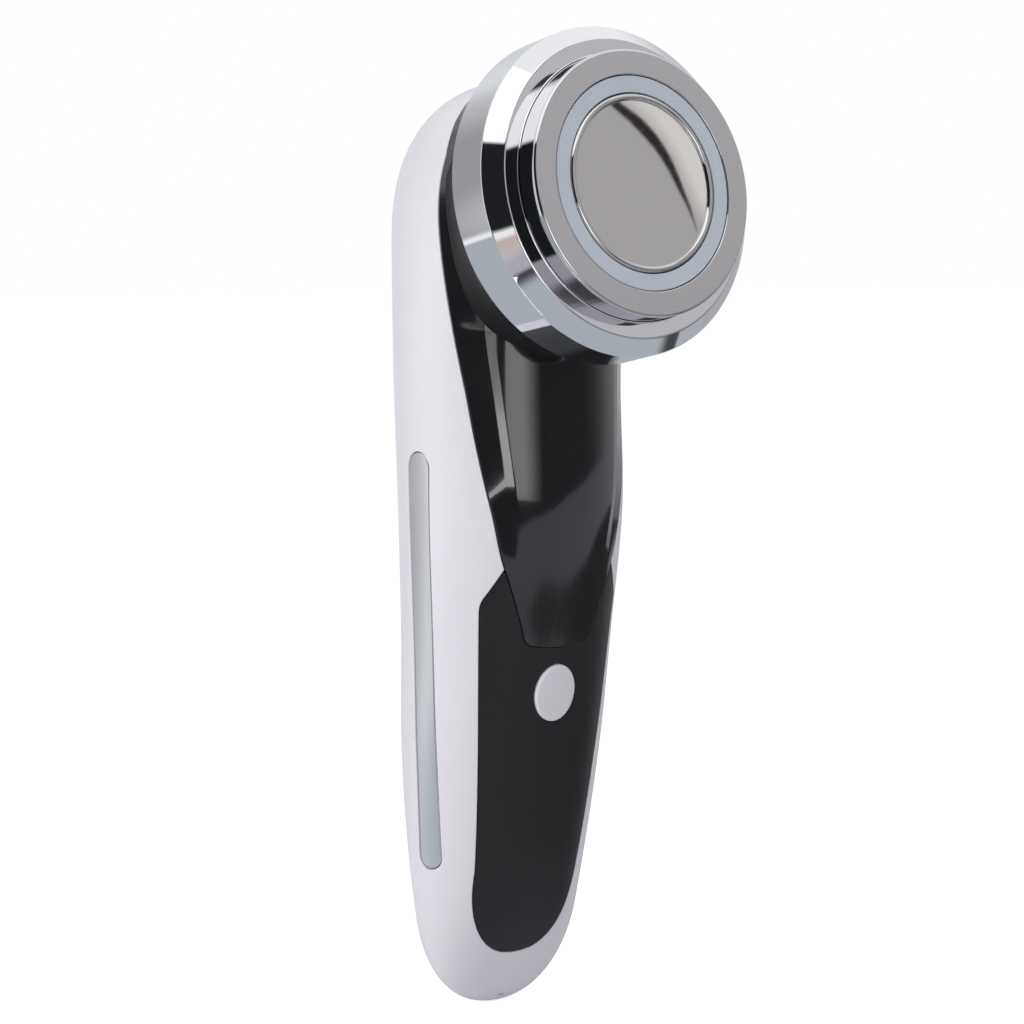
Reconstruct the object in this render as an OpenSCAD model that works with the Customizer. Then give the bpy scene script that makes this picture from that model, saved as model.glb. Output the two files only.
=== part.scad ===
// Handheld facial toning device: stepped metal head on a slim two-tone handle.
// The handle stands on its tip with +Z along it; the head faces -Y; X runs across.

/* [Handle] */
// Height of the housing from its tip to its crown
body_h = 175.8; // [170:0.1:182]
// Greatest width of the handle
grip_w = 43.2; // [41:0.1:46]
// Roundness of the cross-section: 2 is an ellipse, more is squarer
section_power = 2.25; // [2:0.05:2.6]
// Height of the rounded tip
tip_cap = 19.1; // [17:0.1:24]
// Height of the rounded crown
crown_cap = 28.5; // [24:0.1:32]
// Wall thickness of the housing, neck cover and grip panel
wall = 2; // [1.6:0.1:2.3]
// Seam between neighbouring covers
seam = 0.12; // [0.08:0.01:0.2]

/* [Grip panel and neck cover] */
// Height of the waist where the neck cover meets the grip panel
waist_z = 86.1; // [84:0.1:88]
// Width of the neck cover at the waist
waist_w = 25.2; // [24:0.1:26.4]
// Height of the grip panel's rounded foot above the tip
panel_foot_z = 10.6; // [9:0.1:13]
// Height of the grip panel's shoulders
shoulder_z = 80; // [78.5:0.1:81.5]
// Width of the grip panel at its shoulders
shoulder_w = 31.8; // [31:0.1:33]
// Length of the tongue below the waist
tongue_l = 15.2; // [14:0.1:16]
// Width of the tongue at its foot
tongue_w = 16; // [14:0.1:17]
// Width of the bevel along the neck cover's front face
bevel_w = 1.6; // [1.2:0.1:2]
// Depth of the bevel at its outer edge
bevel_depth = 0.45; // [0.2:0.05:0.6]

/* [Head] */
// Upward tilt of the head against the handle
head_tilt = 10.5; // [8:0.1:12]
// Drop of the face centre below the crown
face_drop = 19.6; // [18:0.1:21]
// Reach of the face centre in front of the origin
face_reach = 28.5; // [27.5:0.1:29.5]
// Diameter of the dished electrode
electrode_d = 32.3; // [30:0.1:33]
// Depth of the electrode's dish
dish_depth = 1.4; // [0.8:0.1:1.8]
// Radial width of the light ring
light_ring_w = 3; // [2.6:0.1:3.2]
// Radial width of the face ring
face_ring_w = 4.65; // [4.3:0.05:5]
// Step from the face plane back to the flat annulus
face_step = 4.7; // [4.4:0.1:5.2]
// Radial width of the flat annulus
annulus_w = 3.3; // [2.9:0.1:3.7]
// Width and depth of the flange's bevelled shoulder
flange_bevel = 2.6; // [2.2:0.1:3]
// Distance from the face plane to the flange's rear edge
flange_rear = 16.4; // [16:0.1:17.5]
// Distance from the face plane to the rear wall of the collar
collar_rear = 32; // [31:0.1:32.6]

/* [Side strips] */
// Height of the strips' lower ends above the tip
strip_lo = 28.5; // [26:0.1:32]
// Height of the strips' upper ends above the tip
strip_hi = 107.3; // [100:0.1:109]
// Thickness of the strips
strip_t = 0.9; // [0.7:0.1:1.1]
// Depth of the strips' faces below the housing's surface
strip_inset = 0.25; // [0.1:0.05:0.35]

/* [Button] */
// Height of the button's centre above the tip
button_z = 62.2; // [60:0.1:64]
// Width of the oval button
button_w = 9; // [8:0.1:10]
// Height of the oval button
button_h = 11; // [10:0.1:12]
// How far the button stands proud of the panel
button_proud = 0.5; // [0.3:0.1:0.8]
// Running gap round the button
button_gap = 0.15; // [0.1:0.01:0.25]
// Travel of the button
button_travel = 0.6; // [0.4:0.05:0.8]

/* [Electronics] */
// Width of the main board
board_w = 22; // [20:0.1:23]
// Distance from the chassis's lower screws up to the main board
board_foot_gap = 11; // [7:0.1:14]
// Thickness of the circuit boards
board_t = 1.2; // [1:0.1:1.6]
// Width of the battery cell
cell_w = 22; // [18:0.1:23]
// Room for the leads between the battery cell and the motor
lead_room = 8; // [7:0.1:12]
// Thickness of the battery cell
cell_t = 7.5; // [6:0.1:8]
// Diameter of the vibration motor
motor_d = 12; // [10:0.1:12.6]
// Length of the vibration motor's can
motor_l = 18; // [16:0.1:19]
// Number of light-emitting diodes behind the light ring
led_count = 12; // [8:1:16]
// Diameter of the charging jack's bore
jack_bore_d = 2.5; // [2.1:0.1:2.8]
// Depth of the charging jack's bore
jack_bore_l = 8; // [7:0.1:9]

/* [Hidden] */

shell_white = [0.88, 0.86, 0.90];
gloss_black = [0.05, 0.05, 0.06];
soft_black = [0.13, 0.13, 0.14];
chrome = [0.78, 0.79, 0.81];
steel = [0.63, 0.62, 0.61];
board_green = [0.05, 0.30, 0.16];
part_black = [0.08, 0.08, 0.09];
copper = [0.72, 0.45, 0.25];

round_fn = 96;
small_fn = 48;

// ---------------------------------------------------------------- smooth curves

// Slope at point i of a curve through the points xs, ys
function slope(xs, ys, i) =
  let (a = max(i - 1, 0), b = min(i + 1, len(xs) - 1)) (ys[b] - ys[a]) / (xs[b] - xs[a]);

// Index of the stretch of xs that holds x
function stretch_of(xs, x, i = 0) = i >= len(xs) - 2 || x < xs[i + 1] ? i : stretch_of(xs, x, i + 1);

// Height at x of the smooth curve through xs, ys; straight past its ends
function curve(xs, ys, x) =
  x <= xs[0] ? ys[0] + slope(xs, ys, 0) * (x - xs[0]) :
  x >= xs[len(xs) - 1] ? ys[len(xs) - 1] + slope(xs, ys, len(xs) - 1) * (x - xs[len(xs) - 1]) :
  let (
    i = stretch_of(xs, x),
    h = xs[i + 1] - xs[i],
    u = (x - xs[i]) / h
  )
  ys[i] * (1 + 2 * u) * (1 - u) * (1 - u) + slope(xs, ys, i) * h * u * (1 - u) * (1 - u)
  + ys[i + 1] * u * u * (3 - 2 * u) - slope(xs, ys, i + 1) * h * u * u * (1 - u);

// ---------------------------------------------------------------- handle form

// Stations up the handle as shares of its height, and the handle there:
// half width as a share of the grip's, front line and back line in Y
station_z = [for (f = [0.07, 0.17, 0.29, 0.41, 0.55, 0.69, 0.83, 0.94]) f * body_h];
station_w = [for (f = [0.787, 0.856, 0.935, 0.958, 0.991, 0.995, 1, 0.981]) f * grip_w / 2];
station_front = [8.4, 3, -1, -4.4, -8, -7.5, -11.7, -15.8];
station_back = [23, 27.4, 28.7, 28.9, 29.9, 31.3, 32.7, 33.6];
cap_power = 2.3;

function cap(u) = u <= 0 ? 1 : u >= 1 ? 0 : pow(1 - pow(u, cap_power), 1 / cap_power);

// How much of its full section the handle has at z, for a skin lying inset below the surface
function fullness(z, inset) = min(
  cap((tip_cap - z) / (tip_cap - inset)),
  cap((z - (body_h - crown_cap)) / (crown_cap - inset))
);
function half_w(z, inset = 0) = (curve(station_z, station_w, z) - inset) * fullness(z, inset);
function mid_y(z) = (curve(station_z, station_front, z) + curve(station_z, station_back, z)) / 2;
function half_d(z, inset = 0) = fullness(z, inset)
  * ((curve(station_z, station_back, z) - curve(station_z, station_front, z)) / 2 - inset);

// Front and back surface at x, and the half width at y
function bulge(x, z, inset) =
  let (w = half_w(z, inset)) half_d(z, inset) * pow(max(0, 1 - pow(min(abs(x) / w, 1), section_power)),
  1 / section_power);
function front_y(x, z, inset = 0) = mid_y(z) - bulge(x, z, inset);
function back_y(x, z, inset = 0) = mid_y(z) + bulge(x, z, inset);
function side_x(y, z, inset = 0) =
  let (u = min(1, abs(y - mid_y(z)) / half_d(z, inset)))
  half_w(z, inset) * pow(1 - pow(u, section_power), 1 / section_power);

// One closed ring of the handle's section
function section_ring(z, inset, sides) = [
  for (i = [0:sides - 1])
    let (a = 360 * i / sides, c = cos(a), s = sin(a), e = 2 / section_power)
    [half_w(z, inset) * sign(c) * pow(abs(c), e), mid_y(z) + half_d(z, inset) * sign(s) * pow(abs(s), e), z]
];

// Heights of n rings between two ends, closer together near both
function ring_heights(lo, hi, n) = [for (i = [0:n - 1]) lo + (hi - lo) * (1 - cos(180 * i / (n - 1))) / 2];

// Closed skin through rings of equal length
module loft(rings) {
  n = len(rings[0]);
  m = len(rings);
  points = [for (ring = rings) each ring];
  quads = [
    for (k = [0:m - 2])
      for (i = [0:n - 1])
        let (j = (i + 1) % n)
        each [[k * n + i, (k + 1) * n + i, (k + 1) * n + j], [k * n + i, (k + 1) * n + j, k * n + j]]
  ];
  ends = [[for (i = [0:n - 1]) i], [for (i = [n - 1:-1:0]) (m - 1) * n + i]];
  polyhedron(points = points, faces = concat(quads, ends), convexity = 6);
}

// Closed skin through rings that run along the outside and back along the inside
module skin(rings) {
  n = len(rings[0]);
  m = len(rings);
  k = n / 2;
  points = [for (ring = rings) each ring];
  sides = [
    for (j = [0:m - 2])
      for (i = [0:n - 1])
        let (h = (i + 1) % n)
        each [[j * n + i, (j + 1) * n + i, (j + 1) * n + h], [j * n + i, (j + 1) * n + h, j * n + h]]
  ];
  foot = [for (i = [0:k - 2]) each [[i, i + 1, n - 2 - i], [i, n - 2 - i, n - 1 - i]]];
  head = [for (f = foot) [for (v = [f[2], f[1], f[0]]) (m - 1) * n + v]];
  polyhedron(points = points, faces = concat(sides, foot, head), convexity = 6);
}

// Ring of a front skin at height z: the outside at each x, pushed in by its drop,
// and the inside on the form set in by the wall, no further back than rear_y
function skin_ring(z, xs, drops, in_half, rear_y = 100) =
  let (k = len(xs), half = xs[k - 1])
  concat(
    [for (i = [0:k - 1]) [xs[i], front_y(xs[i], z) + drops[i], z]],
    [
      for (i = [k - 1:-1:0])
        let (x = xs[i] / half * in_half)
        [x, min(front_y(x, z, wall), rear_y), z]
    ]
  );

end_gap = 0.02;
module handle_form(inset, sides, count) {
  loft([
    for (z = ring_heights(inset + end_gap, body_h - inset - end_gap, count)) section_ring(z, inset, sides)
  ]);
}

// ---------------------------------------------------------------- cover outlines

// Line in Y and Z where the white housing meets the neck cover
split_z = [waist_z, waist_z + 11, waist_z + 27, waist_z + 43, waist_z + 66, waist_z + 90];
split_y = [-4, -3.4, -0.5, 2.1, 4.9, 4.9];
function split_at(z) = curve(split_z, split_y, z);

foot_top_z = panel_foot_z + 17.4;
foot_w = 24.4;
foot_power = 2.3;

// Half width of the grip panel's outline at z
function panel_half(z) = z >= foot_top_z
  ? curve([foot_top_z, 50, button_z, shoulder_z], [foot_w / 2, 13.9, 14.8, shoulder_w / 2], z)
  : foot_w / 2 * pow(1 - pow((foot_top_z - z) / (foot_top_z - panel_foot_z), foot_power), 1 / foot_power);

shoulder_run = 2.2;
panel_side = concat(
  [
    for (z = ring_heights(panel_foot_z, 2 * foot_top_z - panel_foot_z, 27))
      if (z <= foot_top_z) [panel_half(z), z]
  ],
  [for (i = [1:9]) let (z = foot_top_z + (shoulder_z - 1.6 - foot_top_z) * i / 9) [panel_half(z), z]],
  [
    [shoulder_w / 2 - 0.1, shoulder_z - 0.5],
    [shoulder_w / 2 - 0.5, shoulder_z + 0.6],
    [waist_w / 2, waist_z]
  ]
);

// A right-hand outline and its mirror image as one closed outline
function both_sides(side) = concat(side, [for (i = [len(side) - 1:-1:0]) [-side[i][0], side[i][1]]]);

module panel_outline(grow = 0) {
  polygon(both_sides([
    for (p = panel_side) [p[0] + grow * (p[0] > 0.01 ? 1 : 0), p[1] + (p[0] < 3 ? -grow : 0)]
  ]));
}

// Tongue of the neck cover: tapering sides, rounded corners and a slightly bowed foot
tongue_corner = 2.6;
tongue_foot_z = waist_z - tongue_l;
tongue_bow = 0.5;
module tongue_outline(grow = 0) {
  corner_x = tongue_w / 2 - tongue_corner;
  corner_z = tongue_foot_z + tongue_bow + tongue_corner;
  polygon(both_sides(concat(
    [[0, tongue_foot_z - grow], [corner_x * 0.6, tongue_foot_z + 0.1 - grow]],
    [
      for (a = [-80:20:0])
        [corner_x + (tongue_corner + grow) * cos(a), corner_z + (tongue_corner + grow) * sin(a)]
    ],
    [[waist_w / 2 - 0.2 + grow, waist_z], [grip_w, waist_z], [grip_w, body_h + 20]]
  )));
}

// Prism through the handle along Y from an outline in X and Z, from y0 to y1
module along_y(y0, y1) {
  translate([0, y1, 0])
    rotate([90, 0, 0])
      linear_extrude(height = y1 - y0)
        children();
}

// Space in front of the split line, above the waist
module neck_space(grow = 0) {
  heights = [for (i = [0:20]) waist_z + (body_h + 10 - waist_z) * i / 20];
  outline = concat(
    [for (z = heights) [split_at(z) + grow, z - (z == waist_z ? grow : 0)]],
    [[-60, body_h + 10], [-60, waist_z - grow]]
  );
  translate([-grip_w, 0, 0])
    rotate([90, 0, 90])
      linear_extrude(height = 2 * grip_w)
        polygon(outline);
}

// ---------------------------------------------------------------- places

face_z = body_h - face_drop;
electrode_r = electrode_d / 2;
ring_gap = 0.15;
light_in_r = electrode_r + ring_gap;
light_out_r = light_in_r + light_ring_w;
face_in_r = light_out_r + ring_gap;
face_r = face_in_r + face_ring_w;
annulus_r = face_r + annulus_w;
flange_r = annulus_r + flange_bevel;
flange_in_r = flange_r - 1.6;

// Head frame: +Z out of the face, +Y up the face, origin at the face centre
module at_head() {
  translate([0, -face_reach, face_z])
    rotate([90 - head_tilt, 0, 0])
      children();
}

// Panel frame: -Y out of the panel at the button, +Z up the panel
panel_tilt = atan((front_y(0, button_z - 8) - front_y(0, button_z + 8)) / 16);
module at_panel() {
  translate([0, front_y(0, button_z), button_z])
    rotate([panel_tilt, 0, 0])
      children();
}

// Cylinder along the panel frame's +Y from y to y + l
module panel_rod(d, y, l, x = 0, z = 0) {
  translate([x, y + l, z])
    rotate([90, 0, 0])
      cylinder(d = d, h = l, $fn = small_fn);
}

// ---------------------------------------------------------------- stack behind the panel

plunger_y = wall + 2;
switch_y = plunger_y + 0.8;
switch_t = 3.4;
board_y = switch_y + switch_t;
standoff_t = 2.2;
chassis_y = board_y + board_t + standoff_t;
chassis_t = 1.8;
cell_y = chassis_y + chassis_t + 0.4;
chassis_z0 = -34;
chassis_reach = 57;
collar_room = 7;
chassis_z1 = min(chassis_reach, face_z - button_z - flange_r - collar_room);
chassis_w = 28;
post_x = 11;
post_z = [chassis_z0 + 5, chassis_z1 - 4];
post_d = 6;
pilot_d = 2.3;
screw_d = 2.2;
screw_clear = 0.2;
board_z0 = post_z[0] + board_foot_gap;
board_top_z = post_z[1] - 9;
board_screw_z = [board_z0 + 4, board_top_z - 4];
board_screw_d = 2;

// ---------------------------------------------------------------- handle covers

module rear_housing() {
  color(shell_white)
    difference() {
      handle_form(0, 56, 46);
      difference() {
        handle_form(wall, 40, 30);
        housing_posts();
      }
      neck_space(seam);
      along_y(-60, mid_y(50)) panel_outline(seam);
      for (side = [-1, 1]) {
        strip_prism(side, -1, strip_inset + strip_t + 0.05, seam);
        contact_rod(side, contact_d + 0.2, wall + 2);
      }
      jack_hole();
      at_head() collar_form(seam, 60);
    }
}

// Screw posts that carry the chassis and the collar, with their pilot holes
head_post_x = 9;
module housing_posts() {
  at_panel()
    for (x = [-post_x, post_x], z = post_z)
      difference() {
        panel_rod(post_d, chassis_y + chassis_t, 40, x, z);
        panel_rod(pilot_d, chassis_y, 9, x, z);
      }
  at_head()
    for (x = [-head_post_x, head_post_x])
      translate([x, 0, -collar_rear - 40])
        difference() {
          cylinder(d = post_d, h = 40 - 0.05, $fn = small_fn);
          translate([0, 0, 32]) cylinder(d = pilot_d, h = 10, $fn = small_fn);
        }
}

// Plug opening in the tip, with a seat for the jack's nose behind it
module jack_hole() {
  translate([0, jack_y, -1]) cylinder(d = jack_bore_d + 0.4, h = wall + 4, $fn = small_fn);
  translate([0, jack_y, jack_z]) {
    cylinder(d = jack_nose_d + 0.1, h = jack_nose_l + 1, $fn = small_fn);
    translate([0, 0, jack_nose_l]) cylinder(d = jack_body_d + 0.1, h = jack_l, $fn = small_fn);
  }
}

// Half width of the bevel's inner edge on the neck cover
function crease_x(z) = curve([waist_z, waist_z + 38], [10, 13.6], z);
bevel_fade_lo = waist_z;
bevel_fade_hi = waist_z + 9;
function bevel_share(z) = min(1, max(0, (z - bevel_fade_lo) / (bevel_fade_hi - bevel_fade_lo)));

// Ring of the neck cover: front face, bevel and flank outside, set back by the wall inside
function cover_ring(z) =
  let (
    edge_y = split_at(max(z, waist_z)) - seam,
    edge = z < waist_z ? waist_w / 2 + 0.6 : side_x(edge_y, z),
    crease = min(crease_x(z), edge * 0.72),
    knee = min(crease + bevel_w, edge * 0.84),
    drop = bevel_depth * bevel_share(z),
    right = concat(
      [for (f = [0.25, 0.5, 0.75, 1]) [f * crease, 0]],
      [for (f = [0, 0.3, 0.65, 1]) [knee + (edge - knee) * f, drop * (1 - f)]]
    ),
    xs = concat([for (i = [7:-1:0]) -right[i][0]], [0], [for (p = right) p[0]]),
    drops = concat([for (i = [7:-1:0]) right[i][1]], [0], [for (p = right) p[1]])
  )
  skin_ring(z, xs, drops, max(1, side_x(edge_y, z, wall)), edge_y);

cover_top = body_h - 9;
module neck_cover() {
  color(gloss_black)
    difference() {
      intersection() {
        skin([for (z = concat(
          [for (i = [0:7]) tongue_foot_z - 1 + (waist_z - tongue_foot_z + 1) * i / 7],
          [for (i = [1:20]) waist_z + (cover_top - waist_z) * i / 20]
        )) cover_ring(z)]);
        along_y(-60, 60) tongue_outline();
      }
      at_head() collar_form(seam, 60);
    }
}

panel_skin_xs = [for (i = [-9:9]) sign(i) * pow(abs(i) / 9, 0.8)];
module grip_panel() {
  color(soft_black)
    difference() {
      intersection() {
        skin([for (z = ring_heights(panel_foot_z - 1, waist_z + 1, 26))
          let (half = min(shoulder_w / 2 + 1, half_w(z, wall) * 0.985))
          skin_ring(z, panel_skin_xs * half, panel_skin_xs * 0, half)]);
        along_y(-60, mid_y(50)) panel_outline();
      }
      along_y(-60, 60) tongue_outline(seam);
      at_panel() button_prism(button_gap, -5, 12);
    }
}

// ---------------------------------------------------------------- side strips

strip_y = [12.3, 11, 10.8, 11];
strip_line_z = [strip_lo + 1.5, strip_lo + 21.5, strip_lo + 46.5, strip_hi];
strip_half = [2.5, 2.5, 2.8, 3.3];
function strip_mid(z) = curve(strip_line_z, strip_y, z);
function strip_hw(z) = curve(strip_line_z, strip_half, z);

// Rounded outline of a strip in Y and Z
module strip_outline(grow) {
  lo = strip_lo + strip_half[0];
  hi = strip_hi - strip_half[3];
  front = [for (i = [0:12]) let (z = lo + (hi - lo) * i / 12) [strip_mid(z) - strip_hw(z) - grow, z]];
  back = [for (i = [12:-1:0]) let (z = lo + (hi - lo) * i / 12) [strip_mid(z) + strip_hw(z) + grow, z]];
  top_r = strip_hw(hi) + grow;
  foot_r = strip_hw(lo) + grow;
  top = [for (a = [165:-15:15]) [strip_mid(hi) + top_r * cos(a), hi + top_r * sin(a)]];
  foot = [for (a = [-15:-15:-165]) [strip_mid(lo) + foot_r * cos(a), lo + foot_r * sin(a)]];
  polygon(concat(front, top, back, foot));
}

// Slab along a flank, from top to depth below its surface, wider than the strip
module flank_slab(side, top, depth) {
  lo = strip_lo - 2;
  rise = strip_hi - strip_lo + 4;
  mirror([side < 0 ? 1 : 0, 0, 0])
    skin([
      for (i = [0:14])
        let (
          z = lo + rise * i / 14,
          ys = [for (k = [0:5]) strip_mid(z) + (strip_hw(z) + 1) * (2 * k / 5 - 1)]
        )
        concat(
          [for (k = [0:5]) [side_x(ys[k], z) - top, ys[k], z]],
          [for (k = [5:-1:0]) [side_x(ys[k], z) - depth, ys[k], z]]
        )
    ]);
}

// The strip's outline, grown by grow, taken out of that slab
module strip_prism(side, top, depth, grow = 0) {
  intersection() {
    rotate([90, 0, 90])
      linear_extrude(height = 2 * grip_w, center = true)
        strip_outline(grow);
    flank_slab(side, top, depth);
  }
}

module side_strip(side) {
  color(chrome) strip_prism(side, strip_inset, strip_inset + strip_t);
}
module side_strip_left() side_strip(-1);
module side_strip_right() side_strip(1);

// ---------------------------------------------------------------- head

bevel_z = -face_step - flange_bevel;
bezel_t = 2;
plate_t = 1.4;
light_foot = 3.2;
skirt_t = 1.1;
skirt_end = face_step + 3;
seat_shelf = face_step + bezel_t + 0.05;
seat_floor = seat_shelf + 4.75;
seat_floor_t = 1.6;
metal_t = 0.8;
rim_r = 0.45;
electrode_skirt = 4.2;
led_h = 1;
led_size = 2.6;
led_board_top = light_foot + led_h + 0.1;
led_board_foot = led_board_top + board_t;

module ring_of(profile) {
  rotate_extrude($fn = round_fn) polygon(profile);
}

// Rounded corner of a profile: centre, radius, first and last angle
function arc(c, r, a0, a1, n = 5) = [
  for (i = [0:n]) let (a = a0 + (a1 - a0) * i / n) c + r * [cos(a), sin(a)]
];

// Chrome bezel: flat annulus, rounded edge, bevelled shoulder and straight flange
module head_bezel() {
  root = 0.8;
  edge = 0.5;
  color(chrome)
    at_head()
      ring_of(concat(
        [[face_r + 0.1, -face_step - bezel_t]],
        arc([face_r + 0.1 + root, -face_step + root], root, 180, 270),
        arc([annulus_r - edge, -face_step - edge], edge, 90, 45, 3),
        arc([flange_r - edge, bevel_z - edge], edge, 45, 0, 3),
        [
          [flange_r, -flange_rear + 0.2],
          [flange_r - 0.2, -flange_rear],
          [flange_in_r, -flange_rear],
          [flange_in_r, bevel_z - 1.6],
          [annulus_r - 1, -face_step - bezel_t]
        ]
      ));
}

// Satin face ring with a rolled outer edge and a skirt down into the seat
module face_ring() {
  roll = 0.7;
  color(steel)
    at_head()
      ring_of(concat(
        [[face_in_r, -plate_t], [face_in_r, -0.15], [face_in_r + 0.15, 0]],
        arc([face_r - roll, -roll], roll, 90, 0, 6),
        [
          [face_r, -skirt_end],
          [face_r - skirt_t, -skirt_end],
          [face_r - skirt_t, -plate_t]
        ]
      ));
}

// Translucent light ring with a wider foot under the face ring
under_ring = face_r - skirt_t - light_out_r;
light_foot_w = 0.25 * under_ring;
contact_r = light_out_r + 0.62 * under_ring;
module light_ring() {
  color([0.72, 0.80, 0.86])
    at_head()
      ring_of([
        [light_in_r, -0.25], [light_in_r + 0.15, -0.1], [light_out_r - 0.15, -0.1], [light_out_r, -0.25],
        [light_out_r, -plate_t - 0.1], [light_out_r + light_foot_w, -plate_t - 0.1],
        [light_out_r + light_foot_w, -light_foot], [light_in_r, -light_foot]
      ]);
}

// Stainless electrode pressed to a shallow dish with a rolled rim and a short skirt
module electrode_disc() {
  slope_w = 3.2;
  rim_in_r = electrode_r - 2 * rim_r;
  floor_r = rim_in_r - slope_w;
  color(steel)
    at_head()
      ring_of(concat(
        [[0, -dish_depth - 0.25], [floor_r * 0.5, -dish_depth - 0.18], [floor_r, -dish_depth]],
        [
          for (u = [0.2:0.2:0.8])
            [floor_r + slope_w * u, -dish_depth + (dish_depth - 2 * rim_r * 0.4) * u * u * (3 - 2 * u)]
        ],
        arc([electrode_r - rim_r, -rim_r], rim_r, 150, 0, 7),
        [
          [electrode_r, -electrode_skirt],
          [electrode_r - metal_t, -electrode_skirt],
          [electrode_r - metal_t, -dish_depth - metal_t],
          [0, -dish_depth - metal_t]
        ]
      ));
}

seat_hole_r = 8;
seat_tube_t = 2;
seat_wall_t = 1.4;
seat_wall_r = face_r - skirt_t - 0.2;
carrier_head_d = 4;
carrier_screw_r = (seat_hole_r + electrode_r - seat_tube_t) / 2;
screw_angles = [90, 210, 330];
harness_r = (electrode_r + seat_wall_r - seat_wall_t) / 2;

// Moulded seat that carries the face ring, the electrode and the light board
module electrode_seat() {
  color(part_black)
    at_head()
      difference() {
        union() {
          ring_of([
            [seat_wall_r - seat_wall_t, -led_board_foot - 0.02], [seat_wall_r, -led_board_foot - 0.02],
            [seat_wall_r, -skirt_end - 0.05], [face_r + 0.1, -skirt_end - 0.05], [face_r + 0.1, -seat_shelf],
            [annulus_r - 1.1, -seat_shelf], [flange_in_r - 0.1, -seat_shelf - 2.4],
            [flange_in_r - 0.1, -seat_floor], [seat_hole_r, -seat_floor],
            [seat_hole_r, -seat_floor + seat_floor_t], [seat_wall_r - seat_wall_t, -seat_floor + seat_floor_t]
          ]);
          ring_of([
            [electrode_r - seat_tube_t, -electrode_skirt - 0.05], [electrode_r, -electrode_skirt - 0.05],
            [electrode_r, -seat_floor + 0.8], [electrode_r - seat_tube_t, -seat_floor + 0.8]
          ]);
        }
        for (a = screw_angles)
          rotate(a) head_rod(screw_d + 2 * screw_clear, -seat_floor - 1, 4, carrier_screw_r);
        rotate(270) head_rod(3.2, -seat_floor - 1, 4, harness_r);
      }
}

// Cylinder along the head's axis from z up by l, at radius r
module head_rod(d, z, l, r = 0) {
  translate([r, 0, z]) cylinder(d = d, h = l, $fn = small_fn);
}

module led_board() {
  color(board_green)
    at_head()
      ring_of([
        [electrode_r + 0.15, -led_board_foot], [face_r - skirt_t - 0.15, -led_board_foot],
        [face_r - skirt_t - 0.15, -led_board_top], [electrode_r + 0.15, -led_board_top]
      ]);
}

module leds() {
  color([0.95, 0.93, 0.75])
    at_head()
      for (i = [0:led_count - 1])
        rotate((i + 0.5) * 360 / led_count)
          translate([electrode_r + 0.4, -led_size / 2, -led_board_top])
            cube([led_size, led_size, led_h]);
}

heater_t = 1.2;
heater_r = electrode_r - 5.15;
heater_z = dish_depth + metal_t;
module heater_plate() {
  color([0.9, 0.88, 0.84])
    at_head()
      translate([0, 0, -heater_z - heater_t])
        cylinder(r = heater_r, h = heater_t, $fn = round_fn);
}

module thermistor() {
  color([0.15, 0.25, 0.2])
    at_head() head_rod(2.4, -heater_z - heater_t - 0.9, 0.9, 6);
}

// Spring pins: three press on the face ring, two on the electrode
module electrode_contacts() {
  color(copper)
    at_head() {
      for (a = screw_angles)
        rotate(a) head_rod(1, -led_board_top, led_board_top - plate_t, contact_r);
      for (a = [0, 180])
        rotate(a)
          head_rod(1.2, -seat_floor + seat_floor_t, seat_floor - seat_floor_t - heater_z, electrode_r - 3.1);
    }
}

// Screws that hold the seat to the collar's posts
module carrier_screws() {
  color(chrome)
    at_head()
      for (a = screw_angles)
        rotate(a) {
          head_rod(carrier_head_d, -seat_floor + seat_floor_t, 1.2, carrier_screw_r);
          head_rod(screw_d, -seat_floor + seat_floor_t - 7, 7.1, carrier_screw_r);
        }
}

// Outer side of the collar, grown by g, from depth front to its rear wall
function collar_side(g, front) = concat(
  [[0, -front], [flange_in_r - 0.05 + g, -front], [flange_in_r - 0.05 + g, -flange_rear - 0.6]],
  [[flange_r - 2 + g, -collar_rear + 10], [flange_r - 4 + g, -collar_rear + 3.4]],
  arc([flange_r - 7.4, -collar_rear + 3], 3 + g, 0, -90, 6),
  [[0, -collar_rear - g]]
);
module collar_form(g, ahead = 0) {
  ring_of(collar_side(g, seat_floor + 0.05 - ahead));
}

collar_wall = 1.8;
// Black bowl behind the flange, open to the front, with posts for the seat's screws
module head_collar() {
  color(gloss_black)
    at_head()
      difference() {
        union() {
          difference() {
            collar_form(0);
            ring_of(concat(
              [[0, 0], [flange_in_r - collar_wall, 0], [flange_in_r - collar_wall, -flange_rear - 0.6]],
              [
                [flange_r - 2 - collar_wall, -collar_rear + 10],
                [flange_r - 4 - collar_wall, -collar_rear + 3.4]
              ],
              arc([flange_r - 7.4, -collar_rear + 3], 3 - collar_wall, 0, -90, 4),
              [[0, -collar_rear + collar_wall]]
            ));
          }
          for (a = screw_angles)
            rotate(a)
              head_rod(5.4, -collar_rear + 1, collar_rear - 1.05 - seat_floor, carrier_screw_r);
        }
        for (a = screw_angles) rotate(a) head_rod(screw_d + 0.1, -seat_floor - 9, 10, carrier_screw_r);
        for (x = [-head_post_x, head_post_x]) head_rod(screw_d + 2 * screw_clear, -collar_rear - 1, 4, x);
        rotate(270) head_rod(6, -collar_rear - 1, 4, 10);
      }
}

// Seal inside the collar's front rim
module head_gasket() {
  out_r = flange_in_r - collar_wall - 0.02;
  color(part_black)
    at_head()
      ring_of([
        [out_r, -seat_floor - 0.02], [out_r, -seat_floor - 1.2],
        [out_r - 1.4, -seat_floor - 1.2], [out_r - 1.4, -seat_floor - 0.02]
      ]);
}

// Screws through the collar's rear wall into the housing's posts
module head_screws() {
  color(chrome)
    at_head()
      for (x = [-head_post_x, head_post_x]) {
        head_rod(4.6, -collar_rear + collar_wall, 1.4, x);
        head_rod(pilot_d - 0.1, -collar_rear + collar_wall - 8, 8.1, x);
      }
}

// ---------------------------------------------------------------- chassis and electronics

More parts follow.
